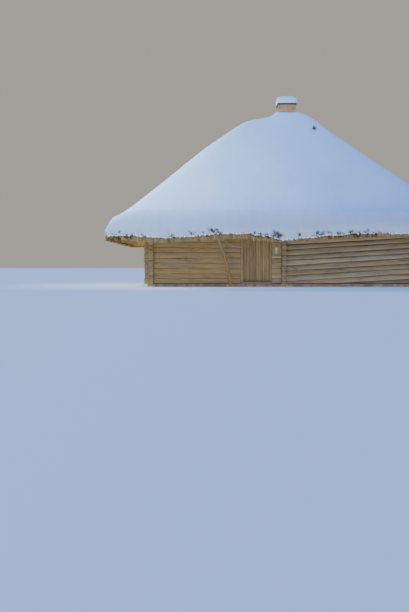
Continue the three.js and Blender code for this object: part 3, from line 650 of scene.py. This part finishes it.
look = (120, ROUND_PIN, lambda share: 0.4 - 0.25 * share, lambda share: 0.05 + 0.55 * share)
shape = (pole_line(0), pole_line(1), ALONG_X, ALONG_Y, POLE_RADIUS, POLE_RADIUS)
pole = timber(*shape, *look, path=pole_line, wander=0.007, pace=0.09)
set_piece("leaning_pole", gather([pole]), pole_finish, ["eave_strut"])


# A thin split lath, old and grey, lies against the logs under the eave. It is bent, and its lower end is
# tucked behind the door post.
LATH_X, LATH_Z = (-2.39, -1.87, -1.66), (1.88, 1.6, 1.575)
LATH_HALF_THICK, LATH_HALF_WIDTH = 0.008, 0.014
lath_bend = np.polyfit(LATH_X, LATH_Z, 2)


def lath_line(share):
    x = LATH_X[0] + (LATH_X[-1] - LATH_X[0]) * share
    return Vector((x, -WALL_Y - 0.012, np.polyval(lath_bend, x)))


shape = (lath_line(0), lath_line(1), FORWARD, UPRIGHT, LATH_HALF_THICK, LATH_HALF_WIDTH)
lath = timber(*shape, 125, BOARD, 1.0, 0.8, path=lath_line, wander=0.001, pace=0.06)
set_piece("split_lath", gather([lath]), log_finish)


# Rafters of split poles stand on the plates under each slope, with four battens across them for the
# thatch. The smoke and the dry underside keep them dark.
EAVE_X, EAVE_Y, EAVE_Z = 6.89, 5.44, 1.8
PITCH = math.radians(43)
RISE = math.tan(PITCH)
BATTENS = (0.48, 0.8, 1.12, 3.4)  # plan distances in from the thatch's cut edge
BATTEN = {"half": (0.025, 0.03), "square": (3, 3), "below": 0.0253, "inset": 0.04}
RAFTER = {
    "half": (0.067, 0.055), "square": (3.2, 3.2), "below": 0.113, "foot": 0.45, "spacing": 1.24,
    "from_hip": 0.06,
}
SLOPES = {
    "front": {"corner": (-EAVE_X, -EAVE_Y), "along": (1, 0), "inward": (0, 1), "length": 2 * EAVE_X},
    "right": {"corner": (EAVE_X, -EAVE_Y), "along": (0, 1), "inward": (-1, 0), "length": 2 * EAVE_Y},
    "back": {"corner": (EAVE_X, EAVE_Y), "along": (-1, 0), "inward": (0, -1), "length": 2 * EAVE_X},
    "left": {"corner": (-EAVE_X, EAVE_Y), "along": (0, -1), "inward": (1, 0), "length": 2 * EAVE_Y},
}
rafter_finish = timber_finish(
    "rafter_wood", (0.8, 0.5, 0.2), (0.42, 0.23, 0.08), (0.55, 0.4, 0.23), 0.5, 0.003
)


def slope_axes(slope):
    """The corner of the eave, the way along it and the way up the slope, all in plan"""
    return [np.array((*slope[key], 0.0)) for key in ("corner", "along", "inward")]


for side, slope in SLOPES.items():
    corner, along, inward = (Vector(axis) for axis in slope_axes(slope))
    corner.z, length = EAVE_Z, slope["length"]
    up_slope = inward * math.cos(PITCH) + UPRIGHT * math.sin(PITCH)
    outward = along.cross(up_slope)

    def laid(a, d, below):
        return corner + along * a + up_slope * (d / math.cos(PITCH)) - outward * below

    bars = []
    for k, d in enumerate(BATTENS):
        reach = d + BATTEN["inset"]
        ends = (laid(reach, d, BATTEN["below"]), laid(length - reach, d, BATTEN["below"]))
        shape = (*BATTEN["half"], 200 + k + len(side), BATTEN["square"], 0.6, 0.3)
        bars.append(timber(*ends, outward, up_slope, *shape, wander=0.004))
    count = int(length / 2 / RAFTER["spacing"])
    for k in range(-count, count + 1):
        a = length / 2 + k * RAFTER["spacing"]
        far = min(EAVE_Y, a, length - a) - RAFTER["from_hip"]
        if far < 0.5:
            continue
        ends = (laid(a, RAFTER["foot"], RAFTER["below"]), laid(a, far, RAFTER["below"]))
        shape = (*RAFTER["half"], 230 + 3 * k + len(side), RAFTER["square"], 0.5, 0.2)
        bars.append(timber(*ends, outward, along, *shape, wander=0.006))
    set_piece("poles_" + side, gather(bars), rafter_finish, ["rafters_" + side])


# The thatch is bundled straw with a cut edge at the eaves. Its body keeps the solids, and thousands of
# straw ends stand out of the cut edge, uneven and a little frosty.
FRONT_EDGE = np.array([
    (-EAVE_X, 0), (-4.6, -0.09), (-3.3, -0.025), (-2.65, 0.045), (-1.33, 0.075), (-1.29, 0.015),
    (-0.7, -0.035), (0.1, -0.045), (1.4, 0.035), (2.6, 0.11), (4.2, 0.13), (EAVE_X, 0),
])
EDGE_ZONE = 0.4  # the wandering of the edge dies out this far up the slope
THATCH_DEPTH = 0.4
EDGE_STRAWS = 210  # a metre of eave


def edge_lift(side, x, inward):
    if side != "front":
        return 0.0 * x
    return np.interp(x, FRONT_EDGE[:, 0], FRONT_EDGE[:, 1]) * np.clip(1 - inward / EDGE_ZONE, 0, 1)


for sides, scale in ((("front", "back"), (70.0, 3.0, 3.0)), (("left", "right"), (3.0, 70.0, 3.0))):
    reed_finish, tree, shader = new_finish("thatch_reed_" + sides[0], 0.95)
    place = object_place(tree)
    strands = speckle(tree, place, scale, 6.0, 0.6)
    bundles = speckle(tree, place, tuple(s / 9 for s in scale), 3.0)
    browns = ((0.3, (0.14, 0.08, 0.026)), (0.5, (0.4, 0.25, 0.09)), (0.72, (0.66, 0.45, 0.18)))
    coarse = ramp(tree, bundles, (0.3, 0.4), (0.7, 1.1))
    reed = mixed(tree, 0.7, ramp(tree, strands, *browns), coarse, "MULTIPLY")
    cover(tree, shader, reed, strands, 0.015)
    for side in sides:
        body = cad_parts["thatch_" + side]
        body.data.materials.clear()
        body.data.materials.append(reed_finish)

straw_finish, tree, shader = new_finish("straw_ends", 0.9)
straw = ramp(
    tree, carried(tree, "tone"), (0.0, (0.09, 0.045, 0.012)), (0.45, (0.26, 0.155, 0.05)),
    (0.85, (0.48, 0.34, 0.14)), (1.0, (0.62, 0.6, 0.56)),
)
fine = ramp(tree, speckle(tree, object_place(tree), 90.0), (0.35, 0.5), (0.65, 1))
straw = mixed(tree, 0.4, straw, fine, "MULTIPLY")
tree.links.new(straw, shader.inputs["Base Color"])


def strew(name, grain, origins, frames, tones, finish):
    """One piece of many small grains. Each frame's rows are the grain's own axes with their lengths."""
    corners = np.array([spot.co for spot in grain.verts])
    faces = np.array([[spot.index for spot in face.verts] for face in grain.faces])
    grain.free()
    placed = np.einsum("kc,nca->nka", corners, frames) + origins[:, None, :]
    offsets = (np.arange(len(origins)) * len(corners))[:, None, None]
    joined = (faces[None, :, :] + offsets).reshape(-1, faces.shape[1])
    mesh = bpy.data.meshes.new(name)
    mesh.from_pydata(placed.reshape(-1, 3), [], joined.tolist())
    mesh.shade_smooth()
    shades = mesh.attributes.new("tone", "FLOAT", "POINT")
    shades.data.foreach_set("value", np.repeat(tones, len(corners)).astype(np.float32))
    mesh.materials.append(finish)
    piece = put_in(name, mesh)
    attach(piece, "house")


def straw_shape():
    straw = bmesh.new()
    bmesh.ops.create_cone(straw, cap_ends=False, segments=4, radius1=1, radius2=0.55, depth=1)
    bmesh.ops.translate(straw, vec=(0, 0, 0.5), verts=straw.verts[:])
    tip = [e for e in straw.edges if min(v.co.z for v in e.verts) > 0.9]
    root = [e for e in straw.edges if max(v.co.z for v in e.verts) < 0.1]
    bmesh.ops.contextual_create(straw, geom=tip)
    bmesh.ops.contextual_create(straw, geom=root)
    return straw


def unit_rows(rows):
    return rows / np.linalg.norm(rows, axis=1)[:, None]


def strew_straws(name, starts, ends, radii, tones):
    """Straws from each start to its end. The third axis of each one's frame points along it."""
    along = unit_rows(ends - starts)
    helper = np.where(np.abs(along[:, 2:3]) < 0.9, (0.0, 0.0, 1.0), (1.0, 0.0, 0.0))
    first = unit_rows(np.cross(helper, along))
    second = np.cross(along, first)
    frames = np.stack([first * radii[:, None], second * radii[:, None], ends - starts], axis=1)
    strew(name, straw_shape(), starts, frames, tones, straw_finish)


def along_eave(chance, slope, a_metre, margin):
    """Places along an eave, in metres from its corner, so many to each metre"""
    return chance.uniform(margin, slope["length"] - margin, int(slope["length"] * a_metre))


for number, (side, slope) in enumerate(SLOPES.items()):
    chance = np.random.default_rng(300 + number)
    corner, along, inward = slope_axes(slope)
    a = along_eave(chance, slope, EDGE_STRAWS, 0)
    count = len(a)
    base = corner + np.outer(a, along)
    base[:, 2] += EAVE_Z + edge_lift(side, base[:, 0], 0.0)
    rows = chance.uniform(-0.012, 0.3, count)
    low_row = chance.random(count) < 0.3
    rows[low_row] = chance.uniform(-0.02, 0.012, low_row.sum())
    stands_out = chance.uniform(0.0, 0.042, count)
    tips = base - np.outer(stands_out, inward)
    tips[:, 2] += rows - 0.3 * stands_out
    fall = np.radians(chance.normal(30, 9, count))
    sway = chance.normal(0, 0.14, count)
    run = np.outer(sway, along) - np.outer(np.cos(fall), inward)
    run[:, 2] -= np.sin(fall)
    roots = tips - unit_rows(run) * chance.uniform(0.09, 0.15, count)[:, None]
    radii = chance.uniform(0.004, 0.009, count)
    tones = np.clip(chance.normal(0.5, 0.26, count), 0, 0.93)
    tones[chance.random(count) < np.where(np.abs(rows - 0.2) < 0.05, 0.3, 0.05)] = 1.0
    strew_straws("straw_edge_" + side, roots, tips, radii, tones)


# Settled snow lies over the whole thatch as one soft sheet, 0.17 to 0.38 m deep. It has crept down to a
# rounded lip at the eaves and is heaped against the chimney, and its lower edge is ragged.
SNOW_DEPTHS = {"front": 0.38, "right": 0.28, "back": 0.38, "left": 0.17}
EAVE_ROLL, EAVE_ROLL_WIDTH = 0.2, 0.45
LIP_DROP, SNOW_LIP = 0.19, 0.06
FRONT_LIP_DROPS = np.array([
    (-EAVE_X, LIP_DROP), (-0.7, LIP_DROP), (-0.3, 0.32), (0.4, 0.3), (1.4, 0.25), (4.2, 0.25),
    (EAVE_X, LIP_DROP),
])
FRONT_FADE = 0.2  # the shape of the front eave dies out this far round a corner
LIP_WAVES = ((0.035, 1.1, 21.5), (0.03, 0.28, 25.5), (0.02, 0.11, 28.5))  # height, length and seed
THATCH_ROUNDING = 0.12
SNOW_ROUNDING = {"left": 0.3, "right": 0.15, "over": 1.5}
DRIFT = {"slope": 0.1, "from": -0.6, "to": 1.42, "offset": -0.04, "starts": 3.8}
HEAP = {"left": 0.2, "right": 0.11, "width": 0.22}
STEP_SPREAD = (-0.24, -0.12, 0.0, 0.12, 0.24)
CORNER_RADIUS, NOSE_WIDTH = 0.14, 0.37
STACK_LOW, STACK_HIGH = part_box("chimney_stack")


def to_eaves(x, y):
    return np.stack([EAVE_Y + y, EAVE_X - x, EAVE_Y - y, EAVE_X + x])


def eave_distance(x, y):
    return to_eaves(x, y).min(0)


def eased(share):
    return share**2 * (3 - 2 * share)


def slope_height(x, y, depths, rounding):
    """Height of a surface that lies at its depths over the rafters and is rounded at hips and ridge"""
    distances = to_eaves(x, y)
    nearest = distances.min(0)
    weights = np.exp((nearest - distances) / rounding)
    total = weights.sum(0)
    depth = sum(w * depths[side] for w, side in zip(weights, SLOPES)) / total
    return EAVE_Z + RISE * (nearest - rounding * np.log(total)) + depth


def near_front(x, y):
    return np.clip(1 - (EAVE_Y + y - eave_distance(x, y)) / FRONT_FADE, 0, 1)


def front_lift(x, y):
    """The wandering of the front eave, which fades round the corners"""
    return edge_lift("front", x, np.maximum(eave_distance(x, y), 0)) * near_front(x, y)


def thatch_height(x, y):
    even = {side: THATCH_DEPTH for side in SLOPES}
    return slope_height(x, y, even, THATCH_ROUNDING) + front_lift(x, y)


def lip_height(x, y):
    drops = np.interp(x, FRONT_LIP_DROPS[:, 0], FRONT_LIP_DROPS[:, 1])
    return thatch_height(x, y) - LIP_DROP - (drops - LIP_DROP) * near_front(x, y)


def wave(x, y, size, seed):
    """Smooth noise over the plan, from -1 to 1"""
    return np.array([noise.noise(Vector((a / size, b / size, seed))) for a, b in zip(x, y)])


def ragged_lip(x, y):
    uneven = sum(height * wave(x + y, x - y, size, seed) for height, size, seed in LIP_WAVES)
    return lip_height(x, y) + 0.015 - uneven


# Tufts of straw that stand out of the lip: place from the middle of the eave, height, spread and number
LIP_TUFTS = {
    "front": (
        (-6.45, 1.93, 0.14, 64), (-6.1, 1.95, 0.12, 40), (-5.5, 2.0, 0.1, 14), (-4.4, 1.98, 0.2, 20),
        (-3.65, 2.02, 0.1, 18), (-3.3, 2.0, 0.12, 16), (-2.9, 2.2, 0.05, 14), (-2.76, 2.15, 0.05, 16),
        (-2.64, 2.1, 0.05, 10), (-1.24, 1.98, 0.04, 15), (-1.02, 1.97, 0.08, 20), (-0.72, 1.95, 0.08, 20),
        (-0.4, 1.99, 0.08, 54), (-0.28, 1.94, 0.09, 36), (0.45, 1.93, 0.05, 10),
        (1.2, 1.97, 0.1, 44), (1.55, 2.0, 0.12, 44), (1.98, 2.05, 0.07, 26), (2.05, 1.98, 0.14, 34),
        (2.42, 2.04, 0.07, 30), (2.7, 2.0, 0.1, 40), (3.0, 2.02, 0.1, 34), (3.4, 2.0, 0.1, 26),
    ),
    "right": ((-2.6, 2.0, 0.2, 40), (0.4, 2.02, 0.1, 24), (3.1, 1.99, 0.2, 34)),
    "back": ((-5.1, 2.0, 0.3, 40), (-2.0, 2.02, 0.2, 40), (1.3, 1.99, 0.2, 30), (4.4, 2.02, 0.3, 44)),
    "left": ((-3.3, 2.02, 0.2, 34), (-0.7, 1.99, 0.2, 40), (2.4, 2.02, 0.15, 26)),
}


def hollow(x, y):
    """How far the nose of the snow is worn in round a tuft, from 0 to 1"""
    worn = 0.0 * x
    for side, tufts in LIP_TUFTS.items():
        slope = SLOPES[side]
        along, inward = slope["along"], slope["inward"]
        out = (x - slope["corner"][0]) * inward[0] + (y - slope["corner"][1]) * inward[1]
        place = x * abs(along[0]) + y * abs(along[1])
        for middle, _, spread, _ in tufts:
            worn += np.exp(-(((place - middle) / (spread + 0.04)) ** 2)) * (out < 0.1)
    return np.clip(worn, 0, 1)


def snow_height(x, y):
    depths = {side: THATCH_DEPTH + depth for side, depth in SNOW_DEPTHS.items()}
    share = np.clip(1 + x / SNOW_ROUNDING["over"], 0, 1)
    narrow = slope_height(x, y, depths, SNOW_ROUNDING["right"])
    wide = slope_height(x, y, depths, SNOW_ROUNDING["left"])
    d = eave_distance(x, y)
    roll = EAVE_ROLL * np.exp(-((np.maximum(d, 0) / EAVE_ROLL_WIDTH) ** 2))
    high = eased(np.clip((d - DRIFT["starts"]) / (EAVE_Y - DRIFT["starts"]), 0, 1))
    drift = high * (DRIFT["slope"] * np.clip(x, DRIFT["from"], DRIFT["to"]) + DRIFT["offset"])
    aside = np.maximum(np.maximum(STACK_LOW.x - x, x - STACK_HIGH.x), 0)
    before = np.maximum(np.maximum(STACK_LOW.y - y, y - STACK_HIGH.y), 0)
    across = np.clip((x - STACK_LOW.x) / (STACK_HIGH.x - STACK_LOW.x), 0, 1)
    heap = HEAP["left"] + (HEAP["right"] - HEAP["left"]) * across
    heap *= np.exp(-(aside**2 + before**2) / HEAP["width"] ** 2)
    # The snow's top follows the steps of the eave only softly
    lift = sum(front_lift(x + step, y) for step in STEP_SPREAD) / len(STEP_SPREAD)
    return wide + (narrow - wide) * share + roll + drift + heap + lift


snow_finish, tree, shader = new_finish("settled_snow", 0.72)
place = object_place(tree)
sparkle = speckle(tree, place, 220.0, 3.0)
lumps = speckle(tree, place, 9.0, 6.0, 0.6)
broad = speckle(tree, place, 0.45, 3.0)
snow = ramp(tree, broad, (0.35, (0.7, 0.81, 0.95)), (0.65, (0.77, 0.86, 0.96)))
snow = mixed(tree, 0.25, snow, ramp(tree, lumps, (0.3, 0.78), (0.65, 1)), "MULTIPLY")
# Painted shade: the snow is greyer near the eaves
snow = mixed(tree, carried(tree, "painted_eave_shade"), snow, (0.52, 0.58, 0.67))
# Painted light: the snow is whiter towards the crest
snow = mixed(tree, carried(tree, "painted_crest_light"), snow, (0.8, 0.94, 1.0))
grainy = reckoned(tree, "ADD", reckoned(tree, "MULTIPLY", sparkle, 0.25), lumps)
cover(tree, shader, snow, grainy, 0.008, 0.8)

mantle = bmesh.new()
bmesh.ops.create_grid(mantle, x_segments=226, y_segments=180, size=1)
bmesh.ops.solidify(mantle, geom=mantle.faces[:], thickness=-1)
rim = [e for e in mantle.edges if abs(e.verts[0].co.z - e.verts[1].co.z) > 0.5]
bmesh.ops.subdivide_edges(mantle, edges=rim, cuts=5)
bmesh.ops.recalc_face_normals(mantle, faces=mantle.faces[:])
flat = np.array([spot.co for spot in mantle.verts])
level = flat[:, 2] - flat[:, 2].min()
u, v = flat[:, 0], flat[:, 1]
# The grid is a little closer towards the eaves, and its corners are pulled in to a rounded plan
x = EAVE_X * (1.12 * u - 0.12 * u**3)
y = EAVE_Y * (1.12 * v - 0.12 * v**3)
in_x = np.maximum(np.abs(x) - (EAVE_X - CORNER_RADIUS), 0) / CORNER_RADIUS
in_y = np.maximum(np.abs(y) - (EAVE_Y - CORNER_RADIUS), 0) / CORNER_RADIUS
rounded = (in_x > 0) & (in_y > 0)
round_x = in_x * np.sqrt(1 - in_y**2 / 2)
round_y = in_y * np.sqrt(1 - in_x**2 / 2)
x = np.where(rounded, np.sign(x) * (EAVE_X - CORNER_RADIUS + CORNER_RADIUS * round_x), x)
y = np.where(rounded, np.sign(y) * (EAVE_Y - CORNER_RADIUS + CORNER_RADIUS * round_y), y)
# The way out of the roof at each point of the rim
away_x = np.where(np.abs(u) > 1 - 1e-6, np.sign(u), 0.0)
away_y = np.where(np.abs(v) > 1 - 1e-6, np.sign(v), 0.0)
on_corner = rounded & ((away_x != 0) | (away_y != 0))
away_x = np.where(on_corner, np.sign(x) * round_x, away_x)
away_y = np.where(on_corner, np.sign(y) * round_y, away_y)
reach = np.maximum(np.hypot(away_x, away_y), 1e-9)
away_x, away_y = away_x / reach, away_y / reach

under = thatch_height(x, y) + 0.001
top = snow_height(x, y)
d = eave_distance(x, y)
# The top is gently uneven, and more so near the eaves, where it has crept
soft = 0.025 * wave(x, y, 1.3, 1.5) + 0.009 * wave(x, y, 0.4, 7.5)
creep = np.exp(-((np.maximum(d, 0) / 0.5) ** 2))
soft += creep * (0.022 * wave(x, y, 0.3, 3.5) + 0.014 * wave(x, y, 0.13, 9.5))
share = np.clip((d + SNOW_LIP) / NOSE_WIDTH, 0, 1)
z_top = under + (top - under) * np.sin(share * math.pi / 2) ** 0.9 + soft
lip = ragged_lip(x, y)
# How far out, and how high between lip and top, each ring of the rim stands, from the underside up
RINGS = {1: (0.002, 0.0), 2: (0.022, -0.01), 3: (0.04, 0.22), 4: (0.044, 0.55), 5: (0.036, 0.85)}
worn_in = hollow(x, y)
new_x, new_y, new_z = x.copy(), y.copy(), np.where(level > 0.99, z_top, under)
for ring, (out, part) in RINGS.items():
    on_ring = np.abs(level * (len(RINGS) + 1) - ring) < 0.1
    bulge = (out + 0.006 * wave(x, y, 0.2, 31.5)) * (1 - 0.65 * worn_in)
    bulge = np.clip(bulge, 0.002, SNOW_LIP - 0.0005)
    new_x = np.where(on_ring, x + away_x * bulge, new_x)
    new_y = np.where(on_ring, y + away_y * bulge, new_y)
    new_z = np.where(on_ring, lip + (z_top - 0.01 - lip) * part, new_z)
# Painted shade greys the snow towards the eaves, and painted light whitens it towards the crest
eave_shade_layer = mantle.verts.layers.float.new("painted_eave_shade")
crest_light_layer = mantle.verts.layers.float.new("painted_crest_light")
# How much painted shade greys the snow near the eaves
grey = eased(np.clip(1 - d / 0.42, 0, 1))
# How much painted light whitens the snow towards the crest
crest_light_share = np.clip((new_z - 4.6) / 3.2, 0, 1)
places = np.stack([new_x, new_y, new_z], axis=1)
for spot, place, shade_here, light_here in zip(mantle.verts, places, grey, crest_light_share):
    spot.co = place
    spot[eave_shade_layer] = shade_here
    spot[crest_light_layer] = light_here
covers = ["snow_" + side for side in SLOPES]
set_piece("snow_mantle", mantle, snow_finish, covers, crease=80)


# Small lumps of snow cling to the lip, half sunk in it. Between them single straws of the thatch stick
# out like the teeth of a comb.
LIP_LUMPS, COMB_STRAWS = 30, 80  # a metre of eave
lump_spots, lump_frames, comb_starts, comb_ends = [], [], [], []
for number, (side, slope) in enumerate(SLOPES.items()):
    chance = np.random.default_rng(400 + number)
    corner, along, inward = slope_axes(slope)

    a = along_eave(chance, slope, LIP_LUMPS, 0.1)
    count = len(a)
    spots = corner + np.outer(a, along) - np.outer(chance.uniform(0.008, 0.022, count), inward)
    spots[:, 2] = ragged_lip(spots[:, 0], spots[:, 1]) + chance.uniform(-0.012, 0.03, count)
    wide = np.outer(chance.uniform(0.018, 0.06, count), along)
    deep = np.outer(chance.uniform(0.02, 0.03, count), inward)
    tall = chance.uniform(0.016, 0.045, count)[:, None]
    tall = tall * (np.array(UPRIGHT) + np.outer(chance.normal(0, 0.3, count), along))
    lump_spots.append(spots)
    lump_frames.append(np.stack([wide, deep, tall], axis=1))

    a = along_eave(chance, slope, COMB_STRAWS, 0.1)
    crowded = wave(a, 0 * a + number, 0.35, 44.5) + chance.uniform(-0.7, 0.7, len(a)) > 0.0
    a, count = a[crowded], crowded.sum()
    starts = corner + np.outer(a, along) + inward * 0.012
    starts[:, 2] = ragged_lip(starts[:, 0], starts[:, 1]) - chance.uniform(0.0, 0.06, count)
    ends = starts - np.outer(chance.uniform(0.05, 0.064, count), inward)
    ends += np.outer(chance.normal(0, 0.016, count), along)
    ends[:, 2] = starts[:, 2] + chance.choice((-1, 1, 1), count) * chance.uniform(0.02, 0.085, count)
    comb_starts.append(starts)
    comb_ends.append(ends)
lump = bmesh.new()
bmesh.ops.create_icosphere(lump, subdivisions=2, radius=1)
for spot in lump.verts:
    spot.co *= 0.9 + 0.45 * noise.noise(spot.co * 1.6)
spots, frames = np.concatenate(lump_spots), np.concatenate(lump_frames)
strew("snow_lumps", lump, spots, frames, np.ones(len(spots)), snow_finish)
starts, ends = np.concatenate(comb_starts), np.concatenate(comb_ends)
chance = np.random.default_rng(440)
radii = chance.uniform(0.003, 0.006, len(starts))
tones = np.clip(chance.normal(0.2, 0.16, len(starts)), 0, 0.8)
strew_straws("straw_comb", starts, ends, radii, tones)


# The chimney is square masonry under weathered lime plaster, with a dark slab on it. It stands on the
# ground inside and comes through a little behind the ridge. Snow lies on the slab as a soft loaf.
plaster_finish, tree, shader = new_finish("chimney_plaster", 0.93)
place = object_place(tree)
blotch = speckle(tree, place, 2.2, 6.0, 0.6)
grit = speckle(tree, place, 70.0, 4.0)
browns = ((0.3, (0.48, 0.24, 0.08)), (0.5, (0.62, 0.36, 0.13)), (0.7, (0.76, 0.51, 0.22)))
turned = add_node(tree, "Mapping", {"Vector": place, "Rotation": (math.pi / 2, 0, 0)}).outputs["Vector"]
bricks = add_node(tree, "TexBrick", {
    "Vector": turned, "Scale": 1.0, "Mortar Size": 0.012, "Brick Width": 0.26, "Row Height": 0.085,
    "Color1": (0.6, 0.6, 0.6, 1), "Color2": (1, 1, 1, 1), "Mortar": (1.2, 1.2, 1.2, 1),
}).outputs["Color"]
plaster = mixed(tree, 0.4, ramp(tree, blotch, *browns), bricks, "MULTIPLY")
plaster = mixed(tree, 0.4, plaster, ramp(tree, grit, (0.3, 0.55), (0.7, 1)), "MULTIPLY")
cover(tree, shader, plaster, reckoned(tree, "ADD", grit, blotch), 0.01)

stack = block(cuts=6)
upright = [e for e in stack.edges if abs(e.verts[0].co.z - e.verts[1].co.z) > 0.1]
bmesh.ops.subdivide_edges(stack, edges=upright, cuts=8)
middle, size = (STACK_LOW + STACK_HIGH) / 2, STACK_HIGH - STACK_LOW
for spot in stack.verts:
    out = spot.co * size / 2
    worn = pull_in(spot.co, 18) * (1 - 0.014 * (0.5 + 0.5 * noise.noise((middle + out) * 2.2)))
    spot.co = middle + Vector((out.x * worn, out.y * worn, out.z))
set_piece("chimney_masonry", stack, plaster_finish, ["chimney_stack"], crease=50)

slab_finish, tree, shader = new_finish("cap_stone", 0.9)
grit = speckle(tree, object_place(tree), 40.0, 6.0)
darks = ramp(tree, grit, (0.3, (0.03, 0.028, 0.025)), (0.7, (0.13, 0.12, 0.11)))
cover(tree, shader, darks, grit, 0.008)
slab = bmesh.new()
low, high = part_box("chimney_cap")
middle, size = (low + high) / 2, high - low
bmesh.ops.create_cube(slab, size=1)
bmesh.ops.scale(slab, vec=size, verts=slab.verts[:])
worn = {"offset": 0.012, "segments": 2, "profile": 0.5, "affect": "EDGES", "material": -1}
bmesh.ops.bevel(slab, geom=slab.edges[:], **worn)
bmesh.ops.translate(slab, vec=middle, verts=slab.verts[:])
set_piece("cap_slab", slab, slab_finish, ["chimney_cap"])

# The snow on the chimney cap gets much of the painted crest light
CAP_CREST_LIGHT = 0.7
loaf = block(cuts=11)
low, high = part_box("chimney_snow")
middle, size = (low + high) / 2, high - low
crest_light_layer = loaf.verts.layers.float.new("painted_crest_light")
for spot in loaf.verts:
    spot[crest_light_layer] = CAP_CREST_LIGHT
    reach = (abs(spot.co.x) ** 4 + abs(spot.co.y) ** 4 + abs(spot.co.z) ** 4) ** 0.25
    unit = spot.co / reach
    lift = (max(unit.z, -0.35) + 0.35) / 1.35
    uneven = 1 - 0.02 * (1 + noise.noise(unit * 2.5))
    settled = 1 - 0.03 * (1 + noise.noise(unit * 2)) * (lift > 0)
    x = middle.x + size.x / 2 * unit.x * uneven
    y = middle.y + size.y / 2 * unit.y * uneven
    spot.co = (x, y, low.z + lift * size.z * settled)
set_piece("cap_snow", loaf, snow_finish, ["chimney_snow"], crease=60)


# Tufts of straw stand out of hollows in the lip, and one little tuft comes through high on the front.
# Each is a few knots of dark straws, and the straws of a knot lean the same way.
KNOT_STRAWS = 11
HIGH_TUFT = {"place": (1.65, -0.98, 0.0), "straws": 48, "lean": (0.0, -0.05, 0.11)}
tuft_starts, tuft_ends = [], []
for number, (side, tufts) in enumerate(LIP_TUFTS.items()):
    chance = np.random.default_rng(500 + number)
    corner, along, inward = slope_axes(SLOPES[side])
    half_length = SLOPES[side]["length"] / 2
    edge_middle = corner + along * half_length
    for middle, height, spread, count in tufts:
        place = middle * along.sum()
        knots = max(count // 5, 3)
        a = np.repeat(place + chance.normal(0, spread, knots), KNOT_STRAWS)
        a = np.clip(a + chance.normal(0, 0.02, len(a)), -half_length + 0.08, half_length - 0.08)
        starts = edge_middle + np.outer(a, along) - inward * 0.006
        starts[:, 2] = np.repeat(height + chance.normal(0, 0.05, knots), KNOT_STRAWS)
        starts[:, 2] += chance.normal(0, 0.018, len(a))
        ends = starts - np.outer(chance.uniform(0.032, 0.047, len(a)), inward)
        sway = np.repeat(chance.normal(0, 0.03, knots), KNOT_STRAWS) + chance.normal(0, 0.03, len(a))
        ends += np.outer(sway, along)
        lean = chance.choice((-1, 1, 1), knots) * chance.uniform(0.03, 0.1, knots)
        ends[:, 2] += np.repeat(lean, KNOT_STRAWS)
        ends[:, 2] += chance.normal(0, 0.03, len(a))
        tuft_starts.append(starts)
        tuft_ends.append(ends)
chance = np.random.default_rng(510)
many = (HIGH_TUFT["straws"], 3)
starts = np.array(HIGH_TUFT["place"]) + chance.normal(0, 0.03, many)
starts[:, 2] = snow_height(starts[:, 0], starts[:, 1]) - 0.02
tuft_starts.append(starts)
tuft_ends.append(starts + chance.normal(0, 0.03, many) + np.array(HIGH_TUFT["lean"]))
starts, ends = np.concatenate(tuft_starts), np.concatenate(tuft_ends)
chance = np.random.default_rng(511)
radii = chance.uniform(0.0035, 0.0075, len(starts))
strew_straws("straw_tufts", starts, ends, radii, chance.uniform(0.0, 0.5, len(starts)))
